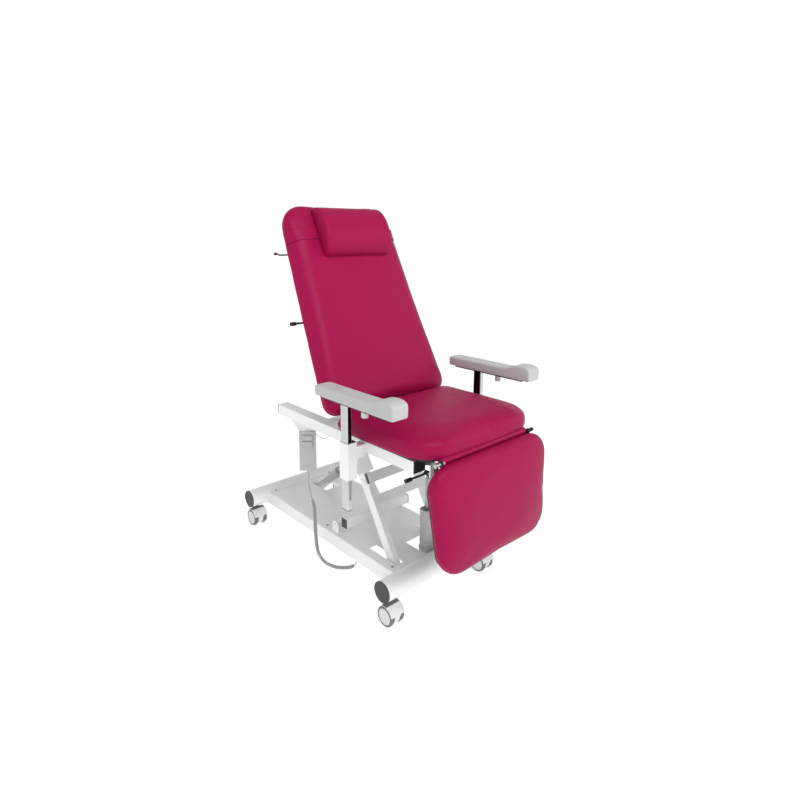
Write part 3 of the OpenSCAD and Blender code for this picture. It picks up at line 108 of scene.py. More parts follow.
def finish_with(name, shades, roughness, metallic=0.0, ior=None, shine=0.5, coat=0.0, sheen=0.0,
                tint_size=60, grains=()):
    """A surface with a colour that wanders between two shades over tint_size millimetres, a roughness
    that wanders, and grains of bump: each grain is (kind, size in mm, depth in mm)."""
    material = bpy.data.materials.new(name)
    material.use_nodes = True
    tree = material.node_tree
    shader = tree.nodes["Principled BSDF"]
    place = node(tree, "ShaderNodeTexCoord").outputs["Object"]
    wander = node(tree, "ShaderNodeTexNoise", Vector=place, Scale=1000 / tint_size, Detail=4.0, Roughness=0.6)
    tint = node(tree, "ShaderNodeMix", {"data_type": "RGBA"}, _0=wander.outputs["Fac"],
                _6=linear(shades[0]), _7=linear(shades[1]))
    tree.links.new(tint.outputs[2], shader.inputs["Base Color"])
    spread = node(tree, "ShaderNodeMapRange", Value=wander.outputs["Fac"], From_Min=0.3, From_Max=0.7,
                  To_Min=roughness - ROUGH_SPREAD, To_Max=roughness + ROUGH_SPREAD)
    tree.links.new(spread.outputs[0], shader.inputs["Roughness"])
    shader.inputs["Metallic"].default_value = metallic
    if ior:
        shader.inputs["IOR"].default_value = ior
    shader.inputs["Specular IOR Level"].default_value = shine
    shader.inputs["Coat Weight"].default_value = coat
    shader.inputs["Coat Roughness"].default_value = COAT_ROUGHNESS
    shader.inputs["Sheen Weight"].default_value = sheen
    last = None
    for kind, size, depth in grains:
        if kind == "noise":
            grain = node(tree, "ShaderNodeTexNoise", Vector=place, Scale=1000 / size,
                         Detail=3.0).outputs["Fac"]
        elif kind == "leather":
            grain = node(tree, "ShaderNodeTexVoronoi", {"feature": "DISTANCE_TO_EDGE"}, Vector=place,
                         Scale=1000 / size).outputs["Distance"]
        else:
            turned = node(tree, "ShaderNodeMapping", Vector=place, Rotation=(0, 0, 0.7))
            grain = node(tree, "ShaderNodeTexWave", {"bands_direction": "Z"}, Vector=turned.outputs[0],
                         Scale=1000 / size / WAVE_RADIANS, Distortion=0.4).outputs["Fac"]
        bump = node(tree, "ShaderNodeBump", Strength=1.0, Distance=depth * MM, Height=grain)
        if last:
            tree.links.new(last.outputs[0], bump.inputs["Normal"])
        last = bump
    if last:
        tree.links.new(last.outputs[0], shader.inputs["Normal"])
    return material


# Coated upholstery cloth: PVC embossed with a fine leather grain, so it has a soft broad shine
vinyl = finish_with("coated_cloth", ("#900941", "#990C47"), 0.45, ior=1.5, shine=0.11, tint_size=180,
                    grains=(("leather", 1.4, 0.05), ("noise", 30, 0.25)))
# Powder coat: polyester baked on steel, with a faint orange peel
powder_white = finish_with("white_powder_coat", ("#E8E9E9", "#EEEFEF"), 0.34, ior=1.5, coat=0.15,
                           grains=(("noise", 2.2, 0.03),))
powder_black = finish_with("black_powder_coat", ("#19191A", "#202021"), 0.42, ior=1.5,
                           grains=(("noise", 2.2, 0.03),))
# Polypropylene moulded against a spark eroded tool, with a fine even texture and a dull shine
black_moulding = finish_with("black_polypropylene", ("#131314", "#1B1B1C"), 0.45, ior=1.49,
                             grains=(("noise", 0.9, 0.03),))
dark_moulding = finish_with("dark_grey_polypropylene", ("#2C2C2D", "#353536"), 0.5, ior=1.49,
                            grains=(("noise", 0.9, 0.03),))
# Nylon moulded in a smoother tool, so the casters are a little glossier
white_moulding = finish_with("white_nylon", ("#DADBDB", "#E3E4E4"), 0.4, ior=1.53,
                             grains=(("noise", 0.9, 0.02),))
disc_moulding = finish_with("wheel_disc_nylon", ("#CECECE", "#D8D8D8"), 0.42, ior=1.53,
                            grains=(("noise", 0.9, 0.02),))
# ABS moulded with a fine texture that breaks up its shine: housings, the handset and its keys
grey_moulding = finish_with("grey_abs", ("#ADADAC", "#B4B4B3"), 0.42, ior=1.54,
                            grains=(("noise", 0.8, 0.03),))
light_moulding = finish_with("light_grey_abs", ("#CBCBCA", "#D4D4D3"), 0.4, ior=1.54,
                             grains=(("noise", 0.8, 0.03),))
# Frame round a key, duller than the handset, and darker with painted shade of the gap round the key
key_gap_shade = finish_with("key_surround", ("#888888", "#909090"), 0.5, ior=1.49, grains=(("noise", 0.9, 0.03),))
# Integral skin polyurethane: foam with a tough matt skin of its own
pad_skin = finish_with("integral_skin_foam", ("#B0B1B0", "#B9BAB9"), 0.58, ior=1.5, sheen=0.05,
                       grains=(("leather", 1.6, 0.05), ("noise", 14, 0.12)))
# Cold drawn steel, ground along its length and left bare under a clear lacquer
satin_steel = finish_with("ground_steel", ("#BEBFC1", "#CECFD0"), 0.36, metallic=1.0, tint_size=20,
                          grains=(("brush", 1.2, 0.01),))
# Zinc plate: a dull metal, cloudy where it was handled
zinc_steel = finish_with("zinc_plated_steel", ("#A9AAAC", "#C6C6C4"), 0.38, metallic=1.0, tint_size=12,
                         grains=(("noise", 3, 0.03),))
# Thermoplastic rubber tread, quite matt
tread_rubber = finish_with("tread_rubber", ("#636363", "#707070"), 0.62, ior=1.5,
                           grains=(("noise", 1.2, 0.05),))
# Plywood with a black stain under a thin lacquer, so its grain only just shows
board_black = finish_with("stained_plywood", ("#171616", "#242322"), 0.55, ior=1.5, tint_size=30,
                          grains=(("noise", 4, 0.1),))
# Polyurethane cord jacket, extruded through a smooth die, so it keeps a narrow shine
cord_jacket = finish_with("cord_jacket", ("#9C9D9D", "#A5A6A6"), 0.4, ior=1.5, grains=(("noise", 1.0, 0.03),))

finishes = {
    "white_paint": powder_white, "white_plastic": white_moulding, "tread": tread_rubber,
    "dark_plastic": dark_moulding, "black_plastic": black_moulding, "grey_plastic": grey_moulding,
    "light_plastic": light_moulding, "pad_foam": pad_skin, "light_sheet": powder_white,
    "satin_steel": satin_steel, "black_board": board_black, "black_paint": powder_black,
    "vinyl": vinyl, "cord": cord_jacket,
}
for part in frame["record"]["subparts"]:
    mesh = nodes[part["node"]].data
    mesh.materials.clear()
    mesh.materials.append(finishes[part["material_slot"]])


def add_band(material, low, high, colour):
    """Gives another colour to what lies between two corners, in millimetres from the front tube."""
    tree = material.node_tree
    shader = tree.nodes["Principled BSDF"]
    place = node(tree, "ShaderNodeSeparateXYZ", _0=node(tree, "ShaderNodeTexCoord").outputs["Object"]).outputs
    inside = None
    for axis, limits in enumerate(zip(at(*low), at(*high))):
        for limit, side in zip(limits, ("GREATER_THAN", "LESS_THAN")):
            test = node(tree, "ShaderNodeMath", {"operation": side}, _0=place[axis], _1=limit)
            inside = test if inside is None else node(tree, "ShaderNodeMath", {"operation": "MULTIPLY"},
                                                      _0=inside.outputs[0], _1=test.outputs[0])
    plain = shader.inputs["Base Color"].links[0].from_socket
    banded = node(tree, "ShaderNodeMix", {"data_type": "RGBA"}, _0=inside.outputs[0], _6=plain,
                  _7=linear(colour))
    tree.links.new(banded.outputs[2], shader.inputs["Base Color"])


STRIP_BLACK, END_BLACK, JOINT_GREY = "#1E1E1F", "#1A1A1B", "#6E6E6E"

# The casters' white housings turn under a grey swivel collar
caster_housing = white_moulding.copy()
caster_housing.name = "white_nylon_grey_collar"
add_band(caster_housing, (-400, -100, 79), (400, 1100, 90), JOINT_GREY)
for place in ("front_near", "front_far", "rear_near", "rear_far"):
    nodes[f"caster_{place}"].data.materials[0] = caster_housing

# The posts are ground steel, with a black strip let into one face of each and a black cap below
post_steel_near, post_steel_far = satin_steel.copy(), satin_steel.copy()
post_steel_near.name, post_steel_far.name = "ground_steel_front_strip", "ground_steel_inner_strip"
add_band(post_steel_near, (-360, 80, 640), (-346, 92.5, 900), STRIP_BLACK)
add_band(post_steel_far, (340, 94, 640), (343.8, 126, 900), STRIP_BLACK)
for post, steel in (("post_near", post_steel_near), ("post_far", post_steel_far)):
    add_band(steel, (-370, 85, 425), (370, 135, 430.5), STRIP_BLACK)
    nodes[post].data.materials[0] = steel

# Square tubes of the lift have black end caps
lift_paint = powder_white.copy()
lift_paint.name = "white_powder_coat_black_ends"
for side in (-1, 1):
    bar_ends, crossbar_ends = sorted((side * 174, side * 180)), sorted((side * 147.1, side * 151))
    add_band(lift_paint, (bar_ends[0], 340, 185), (bar_ends[1], 380, 230), END_BLACK)
    add_band(lift_paint, (crossbar_ends[0], 190, 330), (crossbar_ends[1], 270, 460), END_BLACK)
for name in ("torque_bar", "link_crossbars"):
    nodes[name].data.materials[0] = lift_paint

# The control column's housing has a dark joint at its shoulder
column_grey = grey_moulding.copy()
column_grey.name = "grey_abs_dark_joint"
add_band(column_grey, (-15, 45, 318.5), (75, 100, 321), JOINT_GREY)
nodes["control_column"].data.materials[0] = column_grey

# The hinge plates are zinc plated, and the far one is drawn black
hinge_finish = zinc_steel.copy()
hinge_finish.name = "zinc_plate_far_one_black"
add_band(hinge_finish, (0, -300, 600), (300, -150, 720), STRIP_BLACK)
nodes["hinge_plates"].data.materials[0] = hinge_finish


def keep(piece, material, body, slot, *replaced):
    """Gives a finished piece its material and body, and hides the nodes that it stands for. Its slot is not
    used.
    """
    piece.data.materials.clear()
    piece.data.materials.append(material)
    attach(piece, body)
    if replaced:
        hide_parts(*replaced)


# Cord: the route's points of the part's source, in millimetres
LEAD = [(-272, 470, 395), (-272, 469, 380), (-272, 465, 365), (-272, 460, 350), (-272, 456, 338)]
COIL = [(-272, 456, 338), (-272, 448, 312), (-271, 434, 275), (-270, 433, 225), (-268, 432, 155),
        (-263, 430, 95), (-257, 420, 62), (-246, 397, 41), (-232, 364, 33), (-216, 333, 35), (-200, 305, 42)]
# The last bend goes up and sideways into the side rail
BEND_R, SIDEWAYS = 36, 0.62
COIL += [(-180 - BEND_R * SIDEWAYS * (1 - math.cos(a)), 274 + BEND_R * (1 - math.cos(a)),
          80 - BEND_R * math.sin(a)) for a in (math.radians(60), math.radians(30), 0)]
CORD_D, CURL_D, CURLS = 4.4, 15, 74
# Points to a curl, points of the smoothed route between two of the points above, and how far to
# either side the route's direction is taken, in millimetres
CURL_POINTS, ROUTE_POINTS, REACH = 16, 12, 2


def catmull(a, b, c, d, t):
    """A point on the smooth curve from b to c, with a and d beyond them."""
    return 0.5 * (2 * b + (c - a) * t + (2 * a - 5 * b + 4 * c - d) * t * t
                  + (3 * b - a - 3 * c + d) * t ** 3)


def curled_route():
    """Points along the curled cord's middle, from the coil's route."""
    route = [Vector(p) for p in COIL]
    last = len(route) - 1
    line = []
    for step in range(last * ROUTE_POINTS + 1):
        i = min(step // ROUTE_POINTS, last - 1)
        line.append(catmull(route[max(i - 1, 0)], route[i], route[i + 1], route[min(i + 2, last)],
                            step / ROUTE_POINTS - i))
    along = [0.0]
    for p, q in zip(line, line[1:]):
        along.append(along[-1] + (q - p).length)
    total = along[-1]

    def centre(d):
        d = min(max(d, 0), total)
        i = max(k for k in range(len(along) - 1) if along[k] <= d)
        return line[i].lerp(line[i + 1], (d - along[i]) / (along[i + 1] - along[i]))

    lead_in, radius, points = 3 * CORD_D, (CURL_D - CORD_D) / 2, []
    span = total - 2 * lead_in
    # The first and last curl are drawn out to three times the length of the others
    places = [(0, 0), (lead_in / 2, 0)] + [
        (lead_in + span * (a + 2 * min(a, 1) + 2 * max(0, a - CURLS + 1)) / (CURLS + 4), a)
        for a in (k / CURL_POINTS for k in range(CURLS * CURL_POINTS + 1))]
    places += [(total - lead_in / 2, CURLS), (total, CURLS)]
    for d, a in places:
        # The radius grows smoothly over the first curl and goes back over the last
        part = max(0, min(1, a, CURLS - a))
        r = radius * part * part * (3 - 2 * part)
        t = (centre(min(d + REACH, total)) - centre(max(d - REACH, 0))).normalized()
        e = t.cross(Vector((1, 0, 0))).normalized()
        g = t.cross(e)
        points.append(centre(d) + (e * math.cos(2 * math.pi * a) + g * math.sin(2 * math.pi * a)) * r)
    return points


def add_curve(name, kind, points, diameter):
    """A round curve of a diameter in millimetres, with its points in metres."""
    curve = bpy.data.curves.new(name, "CURVE")
    curve.dimensions, curve.bevel_depth, curve.use_fill_caps = "3D", diameter / 2 * MM, True
    spline = curve.splines.new(kind)
    spline.points.add(len(points) - 1)
    for point, place in zip(spline.points, points):
        point.co = (*place, 1)
    piece = bpy.data.objects.new(name, curve)
    bpy.context.scene.collection.objects.link(piece)
    return piece


cord_points = [at(*p) for p in LEAD[:-1] + curled_route()]
handset_cord = add_curve("handset_cord", "POLY", cord_points, CORD_D)
handset_cord.data.bevel_resolution = 2
keep(handset_cord, cord_jacket, "base", "cord", "cord_lead", "cord_coil")


# Modelling helpers. Lengths are in millimetres unless a comment says metres
def select_only(piece):
    """Selects the piece alone and makes it active."""
    bpy.ops.object.select_all(action="DESELECT")
    piece.select_set(True)
    bpy.context.view_layer.objects.active = piece


def apply_modifiers(piece):
    """Applies the piece's modifiers in their order."""
    select_only(piece)
    for modifier in list(piece.modifiers):
        bpy.ops.object.modifier_apply(modifier=modifier.name)


def settle(piece):
    """Puts the piece's place into its mesh."""
    select_only(piece)
    bpy.ops.object.transform_apply(location=True, rotation=True, scale=True)


def add_box(name, low, high):
    """A box primitive between two corners, in metres in the part's frame."""
    bpy.ops.object.select_all(action="DESELECT")
    size = [h - l for l, h in zip(low, high)]
    bpy.ops.mesh.primitive_cube_add(size=1, location=[(l + h) / 2 for l, h in zip(low, high)])
    piece = bpy.context.object
    piece.name = name
    piece.scale = size
    settle(piece)
    return piece


def add_box_mm(name, low, high):
    """A box primitive between two corners in millimetres, from the world's origin."""
    return add_box(name, [c * MM for c in low], [c * MM for c in high])


def add_round(name, centre, radius, depth, along, sides):
    """A cylinder primitive round a centre in metres."""
    bpy.ops.object.select_all(action="DESELECT")
    turn = {"X": (0, math.pi / 2, 0), "Y": (math.pi / 2, 0, 0), "Z": (0, 0, 0)}[along]
    bpy.ops.mesh.primitive_cylinder_add(vertices=sides, radius=radius * MM, depth=depth * MM,
                                        location=centre, rotation=turn)
    piece = bpy.context.object
    piece.name = name
    settle(piece)
    return piece


def bowed(a, b, c, t):
    """A point on the bow from a to c that b pulls on."""
    return Vector(a) * (1 - t) ** 2 + Vector(b) * 2 * t * (1 - t) + Vector(c) * t ** 2


def add_grid(name, across, down, place):
    """A grid primitive whose points are set by place(u, v), each from 0 to 1, in millimetres."""
    bpy.ops.object.select_all(action="DESELECT")
    bpy.ops.mesh.primitive_grid_add(x_subdivisions=across, y_subdivisions=down, size=1, location=(0, 0, 0))
    piece = bpy.context.object
    piece.name = name
    for vertex in piece.data.vertices:
        vertex.co = at(*place(vertex.co.x + 0.5, vertex.co.y + 0.5))
    return piece


class editing:
    """Edit mode with everything deselected, and a bmesh to pick in."""
    def __init__(self, piece):
        self.piece = piece

    def __enter__(self):
        select_only(self.piece)
        bpy.ops.object.mode_set(mode="EDIT")
        bpy.ops.mesh.select_mode(type="FACE")
        bpy.ops.mesh.select_all(action="DESELECT")
        return self

    def pick(self, test, kind="faces"):
        """Selects the faces, edges or vertices that pass the test, and nothing else."""
        bpy.ops.mesh.select_mode(type={"faces": "FACE", "edges": "EDGE", "verts": "VERT"}[kind])
        bpy.ops.mesh.select_all(action="DESELECT")
        mesh = bmesh.from_edit_mesh(self.piece.data)
        mesh.normal_update()
        for item in getattr(mesh, kind):
            if test(item):
                item.select_set(True)
        mesh.select_flush_mode()
        bmesh.update_edit_mesh(self.piece.data)

    def cut(self, place, normal):
        """Cuts the whole mesh with a plane, so a ring of edges lies there."""
        bpy.ops.mesh.select_all(action="SELECT")
        bpy.ops.mesh.bisect(plane_co=place, plane_no=normal)

    def __exit__(self, *what):
        bpy.ops.object.mode_set(mode="OBJECT")
        return False


def round_edges(piece, width, segments=3, angle=30):
    """Rounds the edges that turn by more than angle degrees, on top of the piece's modifiers."""
    bevel = piece.modifiers.new("edges", "BEVEL")
    bevel.width = width * MM
    bevel.segments = segments
    bevel.limit_method = "ANGLE"
    bevel.angle_limit = math.radians(angle)
    apply_modifiers(piece)
    bpy.ops.object.shade_smooth_by_angle(angle=math.radians(35))


def subdivide(piece, levels):
    """Smooths the piece by subdivision."""
    fine = piece.modifiers.new("fine", "SUBSURF")
    fine.levels = fine.render_levels = levels
    apply_modifiers(piece)
    bpy.ops.object.shade_smooth()


def moved_copy(piece, name, shift):
    """A copy with its own mesh, shifted by a vector in metres."""
    select_only(piece)
    bpy.ops.object.duplicate(linked=False)
    copy = bpy.context.object
    copy.name = name
    copy.location = shift
    settle(copy)
    return copy


def from_points(name, points, faces):
    """A piece from points in the part's frame and the faces between them."""
    mesh = bpy.data.meshes.new(name)
    mesh.from_pydata([tuple(p) for p in points], [], faces)
    piece = bpy.data.objects.new(name, mesh)
    bpy.context.scene.collection.objects.link(piece)
    return piece


# Segments to a corner's arc, and the length of a segment between two corners, in millimetres
ARC_STEPS, SIDE_STEP = 12, 14


def arc(cx, cy, r, a0, a1):
    """Points on an arc round a centre, between two angles in degrees."""
    angles = [math.radians(a0 + (a1 - a0) * i / ARC_STEPS) for i in range(ARC_STEPS + 1)]
    return [(cx + r * math.cos(a), cy + r * math.sin(a)) for a in angles]


def outline(w0, w1, length, r0, r1):
    """Points round a panel that is w0 wide at its start and w1 at its end, with arc corners."""
    corners = (arc(w0 / 2 - r0, r0, r0, -90, 0), arc(w1 / 2 - r1, length - r1, r1, 0, 90),
               arc(-w1 / 2 + r1, length - r1, r1, 90, 180), arc(-w0 / 2 + r0, r0, r0, 180, 270))
    points = []
    for k, corner in enumerate(corners):
        points += corner
        p, q = Vector(corner[-1]), Vector(corners[(k + 1) % 4][0])
        n = max(1, round((q - p).length / SIDE_STEP))
        points += [tuple(p.lerp(q, i / n)) for i in range(1, n)]
    return points


def cushion_form(name, w0, w1, length, r0, r1, thick, soft, tuck, crown, place, far=None):
    """A crowned closed cushion: a flat foot, a tucked lower edge, a full side, a soft upper edge.
    far lists (height, inset) pairs where the far end is drawn in by its own amount."""
    # Each ring of points is (how far it is drawn in, its height)
    rings = [(tuck, 0), (tuck * 0.6, 0), (tuck * 0.3, thick * 0.03), (tuck * 0.1, thick * 0.11),
             (0, thick * 0.28)]
    rings += [(soft * (1 - math.cos(math.radians(a))), thick - soft + soft * math.sin(math.radians(a)))
              for a in (0, 15, 30, 45, 60, 75)]
    half, mid = max(w0, w1) / 2, length / 2
    reach = min(half, mid)
    rings += [(soft + (reach - soft) * f, thick + crown * math.sin(math.radians(90 * f)))
              for f in (0, .12, .26, .42, .6, .78, .92)]
    shape = outline(w0, w1, length, r0, r1)
    m = len(shape)

    def drawn_in(d, h):
        if not far:
            return d
        for (h0, e0), (h1, e1) in zip(far, far[1:]):
            if h0 <= h <= h1:
                return e0 + (e1 - e0) * (h - h0) / (h1 - h0)
        return max(d, far[-1][1])

    points = [(x * (half - d) / half, mid + (y - mid) * (mid - (drawn_in(d, h) if y > mid else d)) / mid, h)
              for d, h in rings for x, y in shape]
    points += [(0, mid, 0), (0, mid, thick + crown)]
    faces = [(j * m + i, j * m + (i + 1) % m, (j + 1) * m + (i + 1) % m, (j + 1) * m + i)
             for j in range(len(rings) - 1) for i in range(m)]
    top = (len(rings) - 1) * m
    faces += [(len(points) - 2, (i + 1) % m, i) for i in range(m)]
    faces += [(len(points) - 1, top + i, top + (i + 1) % m) for i in range(m)]
    piece = from_points(name, [place @ (Vector(p) * MM) for p in points], faces)
    with editing(piece):
        bpy.ops.mesh.select_all(action="SELECT")
        bpy.ops.mesh.normals_make_consistent(inside=False)
    return piece


# Steps of the cover's simulation
COVER_STEPS = 20


def puff(piece, hold, voxel=6, pressure=1.6, cap=12.0, relax=26):
    """Cloth simulation of the cover under the foam's push. hold says which points stay put, voxel is
    the mesh's grain and cap the furthest that a point may go, in mm, and relax counts smoothings."""
    select_only(piece)
    piece.data.remesh_voxel_size = voxel * MM
    bpy.ops.object.voxel_remesh()
    rest = [v.co.copy() for v in piece.data.vertices]
    pinned = piece.vertex_groups.new(name="held")
    pinned.add([v.index for v in piece.data.vertices if hold(v.co)], 1.0, "REPLACE")
    cloth = piece.modifiers.new("cover", "CLOTH")
    cloth.settings.use_pressure = True
    cloth.settings.uniform_pressure_force = pressure
    cloth.settings.vertex_group_mass = "held"
    cloth.settings.effector_weights.gravity = 0
    cloth.settings.quality = 4
    cloth.settings.tension_stiffness = 40
    cloth.settings.compression_stiffness = 40
    cloth.settings.bending_stiffness = 6
    cloth.collision_settings.use_collision = False
    for step in range(1, COVER_STEPS + 1):
        bpy.context.scene.frame_set(step)
    bpy.context.view_layer.update()
    select_only(piece)
    bpy.ops.object.modifier_apply(modifier="cover")
    bpy.context.scene.frame_set(1)
    for vertex, start in zip(piece.data.vertices, rest):
        moved = vertex.co - start
        if moved.length > cap * MM:
            vertex.co = start + moved * (cap * MM / moved.length)
    smooth = piece.modifiers.new("settle", "SMOOTH")
    smooth.factor = 0.5
    smooth.iterations = relax
    fine = piece.modifiers.new("fine", "SUBSURF")
    fine.levels = fine.render_levels = 1
    apply_modifiers(piece)
    bpy.ops.object.shade_smooth()


# Cushions, each drawn in its own plane and set where the part's solid is
seat_place = Matrix.Translation(at(0, -227, 670))
# The rear end is drawn in where the backrest's foot presses on it
SEAT_REAR = [(0, 34), (5, 28), (14, 15), (24, 9), (38, 31), (58, 31), (66, 33), (71, 38), (75.5, 52)]
seat_cushion = cushion_form("seat_pad", 600, 600, 493, 122, 30, 75, 34, 26, 8,
                            seat_place @ Matrix.Translation((0, 0.0035, 0)), SEAT_REAR)
puff(seat_cushion, lambda p: p.z < 0.6725)
keep(seat_cushion, vinyl, "seat", "vinyl", "seat_cushion")

SLOPE = math.radians(64.7)
# On the backrest: x across, y up the back, z to its front
back_place = Matrix.Translation(at(0, 304, 688)) @ Matrix((
    (1, 0, 0, 0), (0, math.cos(SLOPE), -math.sin(SLOPE), 0), (0, math.sin(SLOPE), math.cos(SLOPE), 0),
    (0, 0, 0, 1)))
back_cushion = cushion_form("back_pad", 632, 552, 863, 52, 102, 64, 32, 34, 6,
                            back_place @ Matrix.Translation((0, 0.0035, 0.0085)))
back_in = back_place.inverted()
puff(back_cushion, lambda p: (back_in @ p).z < 0.0105, voxel=8)
keep(back_cushion, vinyl, "backrest", "vinyl", "back_cushion")

LEAN = math.radians(5.4)
# On the legrest: x across, y down the hanging panel, z to its front
leg_place = Matrix.Translation(at(0, -222, 668)) @ Matrix((
    (1, 0, 0, 0), (0, -math.sin(LEAN), -math.cos(LEAN), 0), (0, -math.cos(LEAN), math.sin(LEAN), 0),
    (0, 0, 0, 1)))
leg_cushion = cushion_form("leg_pad", 602, 562, 371, 76, 92, 49, 23, 12, 5,
                           leg_place @ Matrix.Translation((0, 0.0045, -0.0085)))
leg_in = leg_place.inverted()
puff(leg_cushion, lambda p: (leg_in @ p).z < -0.0065, pressure=1.2, relax=34)
keep(leg_cushion, vinyl, "legrest", "vinyl", "leg_cushion")


# Head pillow: a D section drawn along X, with soft domed ends. Steps round the section's front and
# down its back, steps of a domed end and of the length between, and how blunt the front is
FRONT_STEPS, BACK_STEPS, DOME_STEPS, LENGTH_STEPS, BLUNT = 27, 11, 8, 10, 0.85
# Depth of a dome, the share of the section left at its end, how far its tip stands out, the place along
# the depth that the section closes on, and the pillow's place to the far side of the middle
DOME, END_SHARE, TIP, CLOSES_ON, OFF_MIDDLE = 12, 0.93, 7, 0.42, 9


def pillow_form(name, length, v0, height, depth, w0):
    """Sections of a D from end to end, each drawn in as its end closes."""
    section = []
    for k in range(FRONT_STEPS + 1):
        a = math.radians(-90 + 180 * k / FRONT_STEPS)
        section.append((max(0.0, math.cos(a)) ** BLUNT, 0.5 + 0.5 * math.sin(a)))
    section += [(0.0, 1 - 0.08 * k) for k in range(1, BACK_STEPS + 1)]
    # Each place along the length is (x, share of the section's size)
    end = []
    for k in range(DOME_STEPS + 1):
        a = math.radians(90 * k / DOME_STEPS)
        end.append((-length / 2 + DOME * (1 - math.cos(a)), END_SHARE + (1 - END_SHARE) * math.sin(a)))
    row = end + [(-length / 2 + 30 + (length - 60) * k / LENGTH_STEPS, 1.0) for k in range(1, LENGTH_STEPS)]
    row += [(-x, s) for x, s in reversed(end)]
    n = len(section)
    points = [(x, v0 + height * (0.5 + (b - 0.5) * s), w0 + depth * (CLOSES_ON + (a - CLOSES_ON) * s))
              for x, s in row for a, b in section]
    faces = [(j * n + i, j * n + (i + 1) % n, (j + 1) * n + (i + 1) % n, (j + 1) * n + i)
             for j in range(len(row) - 1) for i in range(n)]
    points += [(x, v0 + height / 2, w0 + depth * CLOSES_ON) for x in (-length / 2 - TIP, length / 2 + TIP)]
    first, last = len(points) - 2, len(points) - 1
    faces += [(first, (i + 1) % n, i) for i in range(n)]
    faces += [(last, (len(row) - 1) * n + i, (len(row) - 1) * n + (i + 1) % n) for i in range(n)]
    piece = from_points(
        name, [back_place @ (Vector((x + OFF_MIDDLE, v, w)) * MM) for x, v, w in points], faces)
    with editing(piece):
        bpy.ops.mesh.select_all(action="SELECT")
        bpy.ops.mesh.remove_doubles(threshold=0.0002)
        bpy.ops.mesh.normals_make_consistent(inside=False)
    return piece


head_pillow = pillow_form("head_roll", 331, 621, 212, 72, 82)
puff(head_pillow, lambda p: (back_in @ p).z < 0.088, voxel=5, pressure=2.0, cap=8, relax=8)
keep(head_pillow, vinyl, "backrest", "vinyl", "head_pillow")


# Arm pads: skinned foam moulded in one, with a hump for the hand at the front
PAD_INNER, PAD_OUTER, PAD_FRONT, PAD_REAR, PAD_LOW, PAD_TOP, HUMP = 318, 387, -161, 247, 822, 860, 20
# Share of the hump's height at each place behind the pad's front
HUMP_SHARES = {0: 0.35, 14: 0.95, 44: 1.05, 78: 0.86, 92: 0.3}


def arm_pad(side, sign):
    """One pad, and the folded steel plate under it."""
    x0, x1 = sorted((sign * PAD_INNER, sign * PAD_OUTER))
    pad = add_box("moulded_pad_" + side, at(x0, PAD_FRONT, PAD_LOW), at(x1, PAD_REAR, PAD_TOP))
    with editing(pad) as edit:
        for x in (x0 + 11, x1 - 11):
            edit.cut(at(x, 0, 0), (1, 0, 0))
        for y in [PAD_FRONT + place for place in (14, 44, 78, 92, 112, 180)] + [PAD_REAR - 60, PAD_REAR - 12]:
            edit.cut(at(0, y, 0), (0, 1, 0))
        for z in (PAD_LOW + 5, PAD_TOP - 11):
            edit.cut(at(0, 0, z), (0, 0, 1))
        for place, share in HUMP_SHARES.items():
            y = at(0, PAD_FRONT + place, 0).y
            for z, follow in ((PAD_TOP, 1), (PAD_TOP - 11, 0.75)):
                edit.pick(lambda v: abs(v.co.y - y) < 0.001 and abs(v.co.z - z * MM) < 0.002, "verts")
                bpy.ops.transform.translate(value=(0, 0, HUMP * share * follow * MM))
        edit.pick(lambda v: v.co.z < (PAD_LOW + 1) * MM, "verts")
        bpy.ops.transform.resize(value=(0.93, 0.985, 1))
    subdivide(pad, 2)
    keep(pad, pad_skin, "arm_pad_" + side, "pad_foam", "arm_pad_" + side)
    plate = add_box("pad_plate_" + side, at(x0 + 9, PAD_FRONT + 40, PAD_LOW - 5.5),
                    at(x1 - 9, PAD_REAR - 30, PAD_LOW + 1))
    round_edges(plate, 1.4, 2)
    keep(plate, powder_black, "arm_pad_" + side, "black_paint")


arm_pad("near", -1)
arm_pad("far", 1)


# Twin wheels: a rubber tread round a pale disc, one set for each caster
def turned(name, profile, centre, steps=48):
    """A profile of (radius, x) points in millimetres, spun round the X axis and set at a centre."""
    bpy.ops.object.select_all(action="DESELECT")
    bpy.ops.mesh.primitive_circle_add(vertices=len(profile), radius=0.01, location=(0, 0, 0))
    piece = bpy.context.object
    piece.name = name
    for vertex, (r, x) in zip(piece.data.vertices, profile):
        vertex.co = Vector((x * MM, 0, r * MM))
    with editing(piece):
        bpy.ops.mesh.select_all(action="SELECT")
        bpy.ops.mesh.spin(steps=steps, angle=2 * math.pi, center=(0, 0, 0), axis=(1, 0, 0))
        bpy.ops.mesh.select_all(action="SELECT")
        bpy.ops.mesh.remove_doubles(threshold=0.00002)
        bpy.ops.mesh.normals_make_consistent(inside=False)
    piece.location = centre
    settle(piece)
    select_only(piece)
    bpy.ops.object.shade_smooth_by_angle(angle=math.radians(40))
    return piece


# Profiles as (radius, place along the axle)
TREAD = [(30, 1.2), (30, 18.8), (33.5, 19.6), (36, 18.8), (37.3, 16.5), (37.5, 13), (37.5, 7), (37.3, 3.5),
         (36, 1.2), (33.5, 0.4)]
DISC = [(0.4, 17.6), (5, 17.6), (6, 16.8), (8, 16.6), (24, 17.4), (27, 18.6), (29.4, 19), (30.2, 18.2),
        (30.2, 2), (28, 1.6), (0.4, 1.6)]
